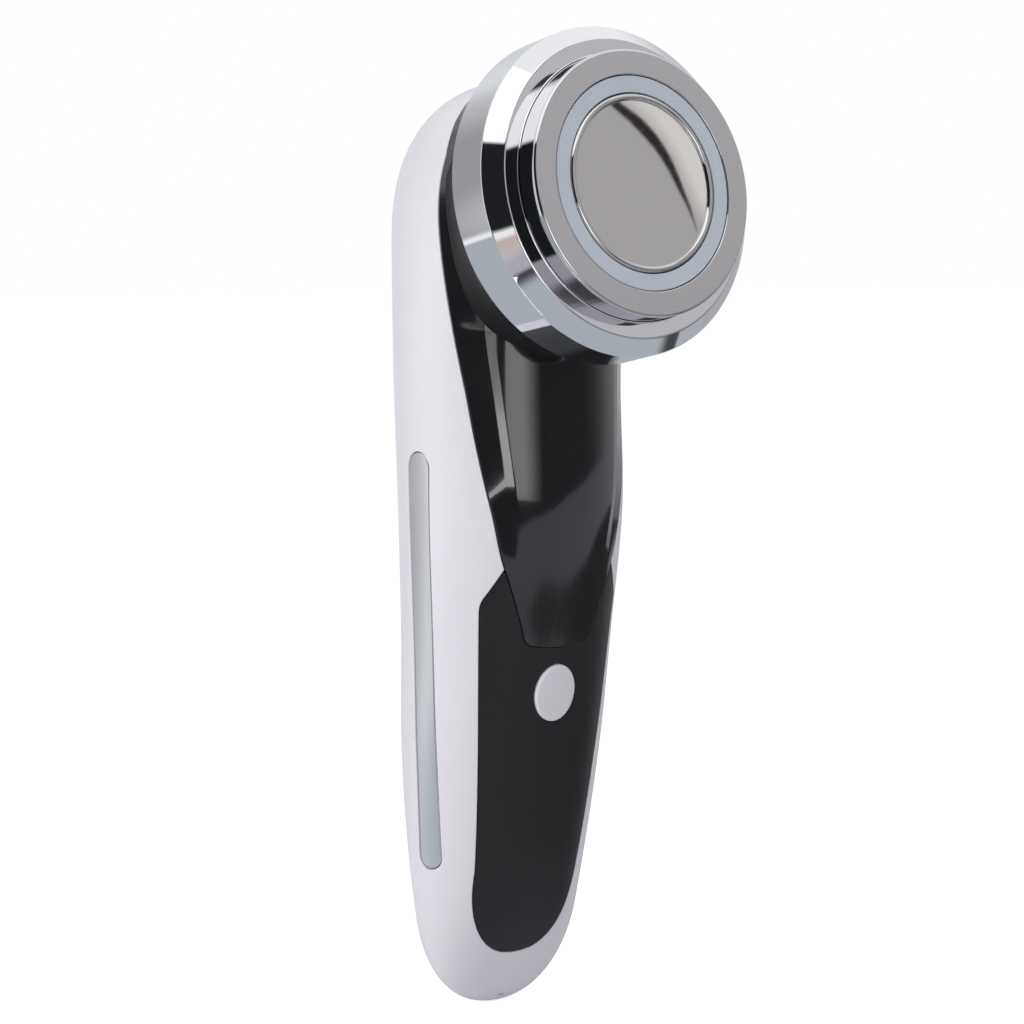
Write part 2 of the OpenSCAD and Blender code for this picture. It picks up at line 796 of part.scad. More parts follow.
board_screw_x = 8;
motor_z = chassis_z1 - 21;
shelf_t = 1.6;
motor_y = chassis_y + chassis_t + 0.8 + motor_d / 2;
clamp_z = motor_z + 3;
clamp_l = 7;
clamp_screw_x = motor_d / 2 + 3.6;

// Moulded frame behind the panel: plate, board stand-offs and the motor's shelf
module chassis() {
  color(part_black)
    at_panel()
      difference() {
        union() {
          translate([-chassis_w / 2, chassis_y, chassis_z0])
            cube([chassis_w, chassis_t, chassis_z1 - chassis_z0]);
          for (x = [-board_screw_x, board_screw_x], z = board_screw_z)
            panel_rod(4.4, board_y + board_t, standoff_t + 0.2, x, z);
          translate([-motor_d / 2, chassis_y + chassis_t - 0.2, motor_z - shelf_t])
            cube([motor_d, motor_d + 1.2, shelf_t]);
        }
        for (x = [-post_x, post_x], z = post_z)
          panel_rod(screw_d + 2 * screw_clear, chassis_y - 1, chassis_t + 2, x, z);
        for (x = [-board_screw_x, board_screw_x], z = board_screw_z)
          panel_rod(board_pilot_d, board_y, 6, x, z);
        for (x = [-clamp_screw_x, clamp_screw_x])
          panel_rod(board_pilot_d, chassis_y - 1, 4, x, clamp_z + clamp_l / 2);
        // window for the leads, and the way through the shelf
        translate([-8, chassis_y - 1, lead_z - 1.8]) cube([16, chassis_t + 2, 3.6]);
        for (x = [-motor_lead_x, motor_lead_x])
          translate([x, motor_y, motor_z - shelf_t - 1]) cylinder(d = 1.8, h = shelf_t + 2, $fn = small_fn);
      }
}
lead_z = motor_z - 4.4;
motor_lead_x = 2.5;
board_pilot_d = 1.7;

module chassis_screws() {
  color(chrome)
    at_panel()
      for (x = [-post_x, post_x], z = post_z) {
        panel_rod(4.6, chassis_y - 1.5, 1.5, x, z);
        panel_rod(pilot_d - 0.1, chassis_y - 0.1, 8, x, z);
      }
}

module main_board() {
  color(board_green)
    at_panel()
      difference() {
        translate([-board_w / 2, board_y, board_z0])
          cube([board_w, board_t, board_top_z - board_z0]);
        for (x = [-board_screw_x, board_screw_x], z = board_screw_z)
          panel_rod(board_screw_d + 0.3, board_y - 1, board_t + 2, x, z);
      }
}

module board_screws() {
  color(chrome)
    at_panel()
      for (x = [-board_screw_x, board_screw_x], z = board_screw_z) {
        panel_rod(3.6, board_y - 1, 1, x, z);
        panel_rod(board_pilot_d - 0.1, board_y - 0.1, 3.2, x, z);
      }
}

// Blocks on the board's front face: place across and along, then width, height and length
controller = [-3.5, board_top_z - 22, 7, 1.2, 7];
coil = [-8, board_top_z - 13, 6, 2.4, 6];
driver = [2, board_top_z - 12, 5, 1.2, 4];
charge_chip = [-2.5, board_z0 + 4, 5, 1.2, 4];
capacitor_d = 4;
capacitor_h = 2.2;
capacitor_at = [7.4, board_top_z - 18];
module board_parts() {
  color(part_black)
    at_panel() {
      for (p = [controller, coil, driver, charge_chip])
        translate([p[0], board_y - p[3], p[1]]) cube([p[2], p[3], p[4]]);
      panel_rod(capacitor_d, board_y - capacitor_h, capacitor_h, capacitor_at[0], capacitor_at[1]);
    }
}

switch_size = 6.2;
plunger_d = 3.4;
plunger_l = 2.4;
module tact_switch() {
  color(part_black)
    at_panel()
      difference() {
        translate([-switch_size / 2, switch_y, -switch_size / 2])
          cube([switch_size, switch_t, switch_size]);
        panel_rod(plunger_d + 0.1, switch_y - 1, plunger_y + plunger_l + button_travel + 1.2 - switch_y);
      }
}

module switch_plunger() {
  color([0.75, 0.75, 0.72])
    at_panel() panel_rod(plunger_d, plunger_y, plunger_l, 0, 0);
}

// Oval prism in the panel frame, grown by g, from y0 to y1
module button_prism(g, y0, y1) {
  translate([0, y1, 0])
    rotate([90, 0, 0])
      linear_extrude(height = y1 - y0)
        polygon([
          for (i = [0:47])
            [(button_w / 2 + g) * cos(7.5 * i), (button_h / 2 + g) * sin(7.5 * i)]
        ]);
}

// Domed oval cap, retaining flange under the panel and stem on the switch
flange_y = wall + 0.6;
module button() {
  crown = 0.35;
  color(shell_white)
    at_panel() {
      for (i = [0:3])
        button_prism(-crown * (1 - sin(30 * i)), -button_proud + crown * (1 - cos(30 * i)), flange_y + 0.1);
      button_prism(0.9, flange_y, flange_y + 0.7);
      panel_rod(3, flange_y + 0.6, plunger_y - flange_y - 0.6, 0, 0);
    }
}

cell_z0 = board_z0;
cell_l = motor_z - lead_room - cell_z0;
module battery() {
  r = 1.5;
  color([0.55, 0.60, 0.66])
    at_panel()
      translate([0, cell_y, cell_z0])
        linear_extrude(height = cell_l)
          polygon(concat(
            arc([-cell_w / 2 + r, r], r, 180, 270),
            arc([cell_w / 2 - r, r], r, 270, 360),
            arc([cell_w / 2 - r, cell_t - r], r, 0, 90),
            arc([-cell_w / 2 + r, cell_t - r], r, 90, 180)
          ));
}

module battery_pad() {
  color([0.3, 0.3, 0.32])
    at_panel()
      translate([-cell_w / 2 + 3, chassis_y + chassis_t, cell_z0 + 4])
        cube([cell_w - 6, cell_y - chassis_y - chassis_t, cell_l - 8]);
}

shaft_d = 1.5;
nose_d = 4;
weight_r = 5;
weight_h = 5;
weight_gap = 1.6;
module motor_can() {
  color(chrome)
    at_panel()
      translate([0, motor_y, motor_z])
        difference() {
          union() {
            cylinder(d = motor_d, h = motor_l, $fn = round_fn);
            translate([0, 0, motor_l]) cylinder(d = nose_d, h = 1, $fn = small_fn);
          }
          translate([0, 0, motor_l - 8]) cylinder(d = shaft_d + 0.1, h = 10, $fn = small_fn);
        }
}

// Shaft with its half-round weight
module motor_rotor() {
  color(steel)
    at_panel()
      translate([0, motor_y, motor_z + motor_l]) {
        translate([0, 0, -7.5]) cylinder(d = shaft_d, h = 7.5 + weight_gap + weight_h, $fn = small_fn);
        translate([0, 0, weight_gap])
          difference() {
            cylinder(r = weight_r, h = weight_h, $fn = round_fn);
            translate([-weight_r - 1, 0.9, -1]) cube([2 * weight_r + 2, weight_r + 1, weight_h + 2]);
          }
      }
}

// Saddle that wraps the can and screws down to the chassis
module motor_clamp() {
  color(part_black)
    at_panel()
      translate([0, motor_y, clamp_z])
        difference() {
          union() {
            cylinder(d = motor_d + 2.4, h = clamp_l, $fn = round_fn);
            translate([-clamp_screw_x - 2.2, -motor_d / 2 - 0.8, 0])
              cube([2 * clamp_screw_x + 4.4, 2.2, clamp_l]);
          }
          translate([0, 0, -1]) cylinder(d = motor_d + 0.04, h = clamp_l + 2, $fn = round_fn);
          translate([-motor_d, -motor_d / 2 - 3.8, -1]) cube([2 * motor_d, 3, clamp_l + 2]);
          for (x = [-clamp_screw_x, clamp_screw_x])
            panel_rod(board_screw_d + 0.3, -motor_d / 2 - 2, 6, x, clamp_l / 2);
        }
}

module clamp_screws() {
  color(chrome)
    at_panel()
      for (x = [-clamp_screw_x, clamp_screw_x]) {
        panel_rod(3.6, chassis_y + chassis_t + 2.2, 1, x, clamp_z + clamp_l / 2);
        panel_rod(board_pilot_d - 0.1, chassis_y + 0.2, chassis_t + 2.1, x, clamp_z + clamp_l / 2);
      }
}

// ---------------------------------------------------------------- charging jack

jack_y = mid_y(2);
jack_z = 1.2;
jack_nose_d = jack_bore_d + 1.4;
jack_body_d = 5.6;
jack_nose_l = 3.4;
jack_l = jack_bore_l + 2;
jack_contact_d = 1.6;

// Round jack: nose in the tip's seat, wider body behind it
module charge_jack() {
  color(chrome)
    translate([0, jack_y, jack_z])
      difference() {
        union() {
          cylinder(d = jack_nose_d, h = jack_l, $fn = small_fn);
          translate([0, 0, jack_nose_l]) cylinder(d = jack_body_d, h = jack_l - jack_nose_l, $fn = small_fn);
        }
        translate([0, 0, -1]) cylinder(d = jack_bore_d, h = jack_bore_l + 1, $fn = small_fn);
        translate([0, 0, jack_bore_l - 1]) cylinder(d = jack_contact_d + 0.04, h = jack_l, $fn = small_fn);
      }
}

// Spring contact at the far end of the jack's bore
module jack_contact() {
  color(copper)
    translate([0, jack_y, jack_z + jack_bore_l])
      cylinder(d = jack_contact_d, h = jack_l - jack_bore_l + 0.3, $fn = small_fn);
}

charge_board_z0 = 10.6;
module charge_board() {
  color(board_green)
    translate([-4.5, jack_y + jack_body_d / 2, charge_board_z0])
      cube([9, 1, 14]);
}

// ---------------------------------------------------------------- contacts and leads

contact_z = 78;
contact_d = 1.8;
contact_l = 2.6;
function contact_x() = side_x(strip_mid(contact_z), contact_z) - strip_inset - strip_t - 0.08;
// Rod inwards from the back of a side strip
module contact_rod(side, d, l) {
  translate([side * contact_x(), strip_mid(contact_z), contact_z])
    rotate([0, -90 * side, 0])
      cylinder(d = d, h = l, $fn = small_fn);
}

module strip_contacts() {
  color(copper)
    for (side = [-1, 1]) contact_rod(side, contact_d, contact_l);
}

// Round lead along a list of points
lead_sides = 8;
module lead(path, d) {
  n = len(path);
  loft([
    for (k = [0:n - 1])
      let (
        a = path[max(k - 1, 0)],
        b = path[min(k + 1, n - 1)],
        dir = (b - a) / norm(b - a),
        side = cross(dir, abs(dir[0]) > 0.9 ? [0, 1, 0] : [1, 0, 0]),
        u = side / norm(side),
        v = cross(dir, u)
      )
      [
        for (i = [0:lead_sides - 1])
          let (a = 360 * i / lead_sides) path[k] + d / 2 * (cos(a) * u + sin(a) * v)
      ]
  ]);
}

lead_d = 1.2;

// A place given in the panel frame or in the head frame, in the handle's own frame
function from_panel(p) = [
  p[0],
  front_y(0, button_z) + p[1] * cos(panel_tilt) - p[2] * sin(panel_tilt),
  button_z + p[1] * sin(panel_tilt) + p[2] * cos(panel_tilt)
];
function from_head(p) = let (a = 90 - head_tilt) [
  p[0],
  -face_reach + p[1] * cos(a) - p[2] * sin(a),
  face_z + p[1] * sin(a) + p[2] * cos(a)
];

lead_gap = 0.03;
harness_d = 1.6;
module head_harness() {
  front = board_y - harness_d / 2 - lead_gap;
  color([0.20, 0.20, 0.22]) {
    lead([
      from_panel([0, front, board_top_z - 4]), from_panel([0, front, board_top_z + 0.4]),
      from_panel([0, board_y + 0.6, board_top_z + 6]), from_panel([0, chassis_y - 2, chassis_z1 - 2]),
      from_panel([0, chassis_y - 0.4, chassis_z1 + 2.4]),
      from_head([0, -21, -collar_rear - 2.2]), from_head([0, -13, -collar_rear - 1.8]),
      from_head([0, -10, -collar_rear + 1]), from_head([0, -12, -collar_rear + 7]),
      from_head([0, -harness_r, -seat_floor - 4]), from_head([0, -harness_r, -led_board_foot - 0.05])
    ], harness_d);
    lead([
      from_head([0, -9.4, -collar_rear + 2.4]), from_head([0, -7, -seat_floor - 6]),
      from_head([0, -5, -seat_floor]), from_head([0, -5, -heater_z - heater_t - 0.05])
    ], lead_d);
  }
}

module battery_leads() {
  y = cell_y + cell_t / 2;
  top = cell_z0 + cell_l;
  color([0.7, 0.1, 0.1])
    for (x = [4.6, 6.4])
      lead([
        from_panel([x, y, top + lead_gap]), from_panel([x, y, top + 1]),
        from_panel([x, y - 1.6, lead_z - 0.4]), from_panel([x, y - 3, lead_z]),
        from_panel([x, chassis_y, lead_z]), from_panel([x, board_y + board_t + lead_gap, lead_z])
      ], lead_d);
}

module motor_leads() {
  color([0.1, 0.2, 0.5])
    for (x = [-motor_lead_x, motor_lead_x])
      lead([
        from_panel([x, motor_y, motor_z - lead_gap]), from_panel([x, motor_y, motor_z - 2.2]),
        from_panel([x, motor_y - 1.6, lead_z + 0.8]), from_panel([x, motor_y - 3, lead_z + 0.4]),
        from_panel([x, chassis_y, lead_z + 0.4]), from_panel([x, board_y + board_t + lead_gap, lead_z + 0.4])
      ], lead_d);
}

module charge_leads() {
  y = jack_y + jack_body_d / 2 - lead_d / 2 - lead_gap;
  edge_y = board_y + board_t / 2;
  color([0.7, 0.1, 0.1])
    for (x = [-3, 3])
      lead([
        [x, y, charge_board_z0 + 11], [x, y, charge_board_z0 + 13.6],
        from_panel([x, chassis_y + 1, chassis_z0 - 2.4]), from_panel([x, chassis_y - 1.6, chassis_z0 + 0.5]),
        from_panel([x, edge_y, board_z0 - 6]), from_panel([x, edge_y, board_z0 - lead_gap])
      ], lead_d);
}

strip_lead_z = board_z0 + 0.55 * (board_top_z - board_z0);
module strip_leads() {
  edge = from_panel([board_w / 2 + lead_gap, board_y + board_t / 2, strip_lead_z]);
  x = contact_x() - contact_l - lead_gap;
  y = strip_mid(contact_z);
  color([0.20, 0.20, 0.22])
    for (side = [-1, 1])
      lead([
        [side * x, y, contact_z], [side * (x - 1.2), y, contact_z],
        [side * (chassis_w / 2 + 1.3), (y + edge[1]) / 2, (contact_z + edge[2]) / 2],
        [side * (chassis_w / 2 + 0.3), edge[1] + 1, edge[2]],
        [side * (edge[0] + 1.4), edge[1], edge[2]], [side * edge[0], edge[1], edge[2]]
      ], 1);
}

// ---------------------------------------------------------------- assembly

rear_housing();
neck_cover();
grip_panel();
side_strip_left();
side_strip_right();
head_bezel();
face_ring();
light_ring();
electrode_disc();
electrode_seat();
head_collar();
head_gasket();
led_board();
leds();
heater_plate();
thermistor();
electrode_contacts();
head_screws();
carrier_screws();
chassis();
chassis_screws();
main_board();
board_screws();
board_parts();
tact_switch();
switch_plunger();
button();
battery();
battery_pad();
motor_can();
motor_rotor();
motor_clamp();
clamp_screws();
charge_board();
charge_jack();
jack_contact();
strip_contacts();
strip_leads();
head_harness();
battery_leads();
motor_leads();
charge_leads();
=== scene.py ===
import math
import bpy
import bmesh
from mathutils import Matrix, Vector
from mathutils.geometry import delaunay_2d_cdt
from mathutils.kdtree import KDTree


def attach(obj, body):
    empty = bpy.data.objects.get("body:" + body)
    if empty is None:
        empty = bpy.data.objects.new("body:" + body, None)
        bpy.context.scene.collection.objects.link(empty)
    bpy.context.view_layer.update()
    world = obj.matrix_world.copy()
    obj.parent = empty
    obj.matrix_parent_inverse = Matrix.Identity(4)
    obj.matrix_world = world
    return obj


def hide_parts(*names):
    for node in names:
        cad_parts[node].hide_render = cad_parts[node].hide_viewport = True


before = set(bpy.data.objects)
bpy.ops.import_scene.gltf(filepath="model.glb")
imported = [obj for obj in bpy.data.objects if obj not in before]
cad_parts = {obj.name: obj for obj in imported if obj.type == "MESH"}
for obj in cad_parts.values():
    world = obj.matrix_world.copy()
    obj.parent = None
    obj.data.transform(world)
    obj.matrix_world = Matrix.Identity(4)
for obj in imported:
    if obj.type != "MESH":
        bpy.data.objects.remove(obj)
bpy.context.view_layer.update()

MM = 0.001

# ------------------------------------------------------------------ the handle's form, in mm

BODY_H, TIP_CAP, CROWN_CAP, GRIP_W = 175.8, 19.1, 28.5, 43.2
SECTION, CAP = 2.25, 2.3
STATION_Z = [f * BODY_H for f in (0.07, 0.17, 0.29, 0.41, 0.55, 0.69, 0.83, 0.94)]
STATION_W = [f * GRIP_W / 2 for f in (0.787, 0.856, 0.935, 0.958, 0.991, 0.995, 1, 0.981)]
STATION_FRONT = [8.4, 3, -1, -4.4, -8, -7.5, -11.7, -15.8]
STATION_BACK = [23, 27.4, 28.7, 28.9, 29.9, 31.3, 32.7, 33.6]
WAIST_Z, WAIST_W = 86.1, 25.2
FOOT_Z, SHOULDER_Z, SHOULDER_W = 10.6, 80.0, 31.8
FOOT_TOP_Z, FOOT_W = 28.0, 24.4
TONGUE_L, TONGUE_W = 15.2, 16.0
BUTTON_Z, BUTTON_W, BUTTON_H, BUTTON_PROUD = 62.2, 9.0, 11.0, 0.5
HEAD_TILT, FACE_REACH, FACE_Z = math.radians(10.5), 28.5, 156.2
SEAM = 0.12


def slope(xs, ys, i):
    """Slope of a curve through points at its point i."""
    a, b = max(i - 1, 0), min(i + 1, len(xs) - 1)
    return (ys[b] - ys[a]) / (xs[b] - xs[a])


def curve(xs, ys, x):
    """Smooth curve through points, straight on past its ends."""
    if x <= xs[0]:
        return ys[0] + slope(xs, ys, 0) * (x - xs[0])
    if x >= xs[-1]:
        return ys[-1] + slope(xs, ys, len(xs) - 1) * (x - xs[-1])
    i = 0
    while i < len(xs) - 2 and x >= xs[i + 1]:
        i += 1
    h = xs[i + 1] - xs[i]
    u = (x - xs[i]) / h
    return (ys[i] * (1 + 2 * u) * (1 - u) ** 2 + slope(xs, ys, i) * h * u * (1 - u) ** 2
            + ys[i + 1] * u * u * (3 - 2 * u) - slope(xs, ys, i + 1) * h * u * u * (1 - u))


def soft_step(t):
    """0 below 0 and 1 above 1, with a soft rise between."""
    t = min(1.0, max(0.0, t))
    return t * t * (3 - 2 * t)


def cap(u):
    """Size of a rounded end at share u of its length, from 1 to 0 at the very end."""
    return 1.0 if u <= 0 else 0.0 if u >= 1 else (1 - u ** CAP) ** (1 / CAP)


def fullness(z):
    return min(cap((TIP_CAP - z) / TIP_CAP), cap((z - (BODY_H - CROWN_CAP)) / CROWN_CAP))


def half_w(z):
    return curve(STATION_Z, STATION_W, z) * fullness(z)


def mid_y(z):
    return (curve(STATION_Z, STATION_FRONT, z) + curve(STATION_Z, STATION_BACK, z)) / 2


def half_d(z):
    return (curve(STATION_Z, STATION_BACK, z) - curve(STATION_Z, STATION_FRONT, z)) / 2 * fullness(z)


def front_y(x, z):
    """Front of the handle's form."""
    return mid_y(z) - half_d(z) * max(0.0, 1 - min(abs(x) / half_w(z), 1) ** SECTION) ** (1 / SECTION)


def side_x(y, z):
    """Right-hand side of the handle's form."""
    u = min(1.0, abs(y - mid_y(z)) / half_d(z))
    return half_w(z) * (1 - u ** SECTION) ** (1 / SECTION)


def split_at(z):
    """How far back the split between shell and neck cover lies."""
    return curve([WAIST_Z, WAIST_Z + 11, WAIST_Z + 27, WAIST_Z + 43, WAIST_Z + 66, WAIST_Z + 90],
                 [-4, -3.4, -0.5, 2.1, 4.9, 4.9], z)


# ------------------------------------------------------------------ materials

NOISE_LO, NOISE_HI = 0.3, 0.7  # stretch of the noise that is used
GRAIN_HEIGHT = 0.00005


def material(name, color, rough, metal=0.0, coat=0.0, coat_rough=0.1, spec=0.5):
    m = bpy.data.materials.new(name)
    m.use_nodes = True
    nt = m.node_tree
    bsdf = nt.nodes["Principled BSDF"]
    bsdf.inputs["Base Color"].default_value = (*color, 1)
    bsdf.inputs["Roughness"].default_value = rough
    bsdf.inputs["Metallic"].default_value = metal
    bsdf.inputs["Coat Weight"].default_value = coat
    bsdf.inputs["Coat Roughness"].default_value = coat_rough
    bsdf.inputs["Specular IOR Level"].default_value = spec
    return m


def add(nt, kind, **props):
    n = nt.nodes.new(kind)
    for k, v in props.items():
        setattr(n, k, v)
    return n


def noise(nt, scale, stretch=None):
    """Noise in the object's own coordinates."""
    coord = add(nt, "ShaderNodeTexCoord")
    mapping = add(nt, "ShaderNodeMapping")
    if stretch:
        mapping.inputs["Scale"].default_value = stretch
    tex = add(nt, "ShaderNodeTexNoise")
    tex.inputs["Scale"].default_value = scale
    tex.inputs["Detail"].default_value = 3.0
    tex.inputs["Roughness"].default_value = 0.5
    nt.links.new(coord.outputs["Object"], mapping.inputs["Vector"])
    nt.links.new(mapping.outputs["Vector"], tex.inputs["Vector"])
    return tex


def wander(nt, scale, lo, hi, stretch=None):
    """Value that wanders between lo and hi with the noise."""
    tex = noise(nt, scale, stretch)
    ramp = add(nt, "ShaderNodeMapRange")
    ramp.inputs["From Min"].default_value = NOISE_LO
    ramp.inputs["From Max"].default_value = NOISE_HI
    ramp.inputs["To Min"].default_value = lo
    ramp.inputs["To Max"].default_value = hi
    nt.links.new(tex.outputs["Fac"], ramp.inputs["Value"])
    return ramp.outputs["Result"]


def vary_rough(m, scale, lo, hi, stretch=None):
    """Roughness that wanders between lo and hi."""
    nt = m.node_tree
    rough = wander(nt, scale, lo, hi, stretch)
    nt.links.new(rough, nt.nodes["Principled BSDF"].inputs["Roughness"])


def vary_color(m, scale, a, b):
    """Base colour that wanders between a and b."""
    nt = m.node_tree
    tex = noise(nt, scale)
    ramp = add(nt, "ShaderNodeValToRGB")
    ramp.color_ramp.elements[0].position = NOISE_LO
    ramp.color_ramp.elements[0].color = (*a, 1)
    ramp.color_ramp.elements[1].position = NOISE_HI
    ramp.color_ramp.elements[1].color = (*b, 1)
    nt.links.new(tex.outputs["Fac"], ramp.inputs["Fac"])
    nt.links.new(ramp.outputs["Color"], nt.nodes["Principled BSDF"].inputs["Base Color"])


def grain(m, scale, strength):
    """Fine bump."""
    nt = m.node_tree
    tex = noise(nt, scale)
    bump = add(nt, "ShaderNodeBump")
    bump.inputs["Strength"].default_value = strength
    bump.inputs["Distance"].default_value = GRAIN_HEIGHT
    nt.links.new(tex.outputs["Fac"], bump.inputs["Height"])
    nt.links.new(bump.outputs["Normal"], nt.nodes["Principled BSDF"].inputs["Normal"])


SHELL = material("shell_satin", (0.84, 0.805, 0.86), 0.32, coat=0.5, coat_rough=0.22)
vary_color(SHELL, 35, (0.835, 0.80, 0.855), (0.85, 0.815, 0.87))
vary_rough(SHELL, 60, 0.30, 0.36)
grain(SHELL, 2500, 0.05)

COLLAR = material("collar_black", (0.010, 0.010, 0.011), 0.38, spec=0.3)
vary_rough(COLLAR, 60, 0.34, 0.42)
grain(COLLAR, 900, 0.04)

NECK = material("neck_gloss", (0.012, 0.012, 0.014), 0.12, coat=1.0, coat_rough=0.04)
vary_rough(NECK, 50, 0.10, 0.16)
grain(NECK, 60, 0.02)

PANEL = material("panel_soft", (0.010, 0.010, 0.0115), 0.42)
vary_rough(PANEL, 80, 0.38, 0.46)
grain(PANEL, 3000, 0.12)

CHROME = material("bezel_chrome", (0.80, 0.81, 0.83), 0.04, 1.0)
vary_rough(CHROME, 40, 0.03, 0.05)

RING = material("ring_satin", (0.66, 0.66, 0.67), 0.28, 1.0)


def satin_on_top(m, scale, lo, hi, polished):
    """Satin where the surface faces out of the head, polished on its walls and rolled edges."""
    nt = m.node_tree
    geometry = add(nt, "ShaderNodeNewGeometry")
    facing = add(nt, "ShaderNodeVectorMath", operation="DOT_PRODUCT")
    facing.inputs[1].default_value = (0, -math.cos(HEAD_TILT), math.sin(HEAD_TILT))
    nt.links.new(geometry.outputs["Normal"], facing.inputs[0])
    ramp = add(nt, "ShaderNodeMapRange")
    ramp.inputs["From Min"].default_value = 0.90
    ramp.inputs["From Max"].default_value = 0.995
    ramp.inputs["To Min"].default_value = polished
    nt.links.new(facing.outputs["Value"], ramp.inputs["Value"])
    nt.links.new(wander(nt, scale, lo, hi), ramp.inputs["To Max"])
    nt.links.new(ramp.outputs["Result"], nt.nodes["Principled BSDF"].inputs["Roughness"])


satin_on_top(RING, 2200, 0.255, 0.275, 0.04)

ELECTRODE = material("electrode_steel", (0.64, 0.63, 0.625), 0.04, 1.0)
vary_rough(ELECTRODE, 900, 0.03, 0.05)

LIGHT = material("light_diffuser", (0.64, 0.70, 0.77), 0.22, coat=0.4, coat_rough=0.1)
vary_color(LIGHT, 120, (0.62, 0.68, 0.75), (0.66, 0.72, 0.79))

STRIP = material("strip_brushed", (0.86, 0.87, 0.89), 0.35, 1.0)
vary_rough(STRIP, 900, 0.30, 0.40, stretch=(1, 1, 0.04))

BUTTON = material("button_satin", (0.84, 0.82, 0.87), 0.35, coat=0.3, coat_rough=0.25)
vary_rough(BUTTON, 120, 0.32, 0.38)


def plain(name, color, rough, metal=0.0):
    """Material of an inner piece."""
    m = material(name, color, rough, metal)
    vary_rough(m, 400, rough - 0.03, rough + 0.03)
    vary_color(m, 300, tuple(c * 0.94 for c in color), tuple(min(1, c * 1.06) for c in color))
    return m


BLACK = plain("inner_black", (0.03, 0.03, 0.032), 0.5)
BOARD = plain("board_green", (0.03, 0.16, 0.08), 0.4)
SMALL = plain("part_black", (0.03, 0.03, 0.035), 0.4)
COPPER = plain("contact_gold", (0.75, 0.50, 0.25), 0.25, 1.0)
SCREW = plain("screw_steel", (0.55, 0.55, 0.56), 0.3, 1.0)
CERAMIC = plain("ceramic_white", (0.85, 0.82, 0.76), 0.4)
LED = plain("led_lens", (0.90, 0.85, 0.55), 0.2)
FOIL = plain("cell_foil", (0.55, 0.58, 0.63), 0.35, 0.8)
FOAM = plain("foam_grey", (0.10, 0.10, 0.11), 0.8)
MOTOR = plain("motor_steel", (0.60, 0.60, 0.61), 0.28, 1.0)
JACK = plain("jack_steel", (0.60, 0.60, 0.61), 0.3, 1.0)
PLUNGER = plain("plunger_ivory", (0.62, 0.62, 0.58), 0.45)
LEAD_BLACK = plain("lead_black", (0.03, 0.03, 0.035), 0.45)
LEAD_RED = plain("lead_red", (0.35, 0.02, 0.02), 0.45)
LEAD_BLUE = plain("lead_blue", (0.03, 0.06, 0.25), 0.45)
RUBBER = plain("seal_rubber", (0.02, 0.02, 0.02), 0.6)

NODE_MATERIAL = {
    "rear_housing": SHELL, "neck_cover": NECK, "grip_panel": PANEL, "side_strip_left": STRIP,
    "side_strip_right": STRIP, "head_bezel": CHROME, "face_ring": RING, "light_ring": LIGHT,
    "electrode_disc": ELECTRODE, "electrode_seat": BLACK, "head_collar": COLLAR, "head_gasket": RUBBER,
    "led_board": BOARD, "leds": LED, "heater_plate": CERAMIC, "thermistor": SMALL,
    "electrode_contacts": COPPER, "head_screws": SCREW, "carrier_screws": SCREW, "chassis": BLACK,
    "chassis_screws": SCREW, "main_board": BOARD, "board_screws": SCREW, "board_parts": SMALL,
    "tact_switch": SMALL, "switch_plunger": PLUNGER, "button": BUTTON, "battery": FOIL,
    "battery_pad": FOAM, "motor_can": MOTOR, "motor_rotor": MOTOR, "motor_clamp": BLACK,
    "clamp_screws": SCREW, "charge_board": BOARD, "charge_jack": JACK, "jack_contact": COPPER,
    "strip_contacts": COPPER, "strip_leads": LEAD_BLACK, "head_harness": LEAD_BLACK,
    "battery_leads": LEAD_RED, "motor_leads": LEAD_BLUE, "charge_leads": LEAD_RED,
}
for name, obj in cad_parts.items():
    m = NODE_MATERIAL[name]
    if not obj.material_slots:
        obj.data.materials.append(m)
    for s in obj.material_slots:
        s.material = m

# ------------------------------------------------------------------ smooth covers

HEAD_OUT = Vector((0, -math.cos(HEAD_TILT), math.sin(HEAD_TILT)))
HEAD_UP = Vector((0, math.sin(HEAD_TILT), math.cos(HEAD_TILT)))
FACE = Vector((0, -FACE_REACH, FACE_Z))
U_STEP = 0.35  # millimetres of girth that one degree of section stands for
FRONT, FRONT_AGAIN = -90 * U_STEP, 270 * U_STEP  # the girth's two ends, both in the middle of the front

# collar behind the flange, by depth: half width, reach upwards and downwards, squareness
COLLAR_D = [11.6, 16.4, 19, 22, 25, 28, 30, 32]
COLLAR_A = [28.38, 28.3, 26.9, 25.1, 23.1, 21.6, 20.95, 20.6]
COLLAR_T = [28.38, 28.2, 25.4, 22.4, 20.9, 20.2, 19.9, 19.8]
COLLAR_B = [28.38, 28.35, 28.1, 27.5, 27.0, 26.7, 26.6, 26.5]
COLLAR_Q = [2, 2, 2.03, 2.1, 2.25, 2.35, 2.4, 2.4]
COLLAR_REAR, COLLAR_ROUND = 32.0, 0.6


def collar_size(depth):
    """Half width, reach up, reach down and squareness of the collar's section at a depth behind the face."""
    return [curve(COLLAR_D, size, depth) for size in (COLLAR_A, COLLAR_T, COLLAR_B, COLLAR_Q)]


def collar_share(p):
    """Below 1 inside the collar, above 1 outside it."""
    d = Vector(p) - FACE
    depth = -d.dot(HEAD_OUT)
    if depth > COLLAR_REAR:
        return 9.0
    a, t, b, q = collar_size(depth)
    lift = d.dot(HEAD_UP)
    return ((abs(d.x) / a) ** q + (abs(lift) / (t if lift > 0 else b)) ** q) ** (1 / q)


def section_point(u, z, inset=0.0):
    """Place on the handle's form at girth u, set in along its normal."""
    a = math.radians(u / U_STEP)
    c, s, e = math.cos(a), math.sin(a), 2 / SECTION
    x = half_w(z) * math.copysign(abs(c) ** e, c)
    y = mid_y(z) + half_d(z) * math.copysign(abs(s) ** e, s)
    p = Vector((x, y, z))
    return p - form_normal(p) * inset if inset else p


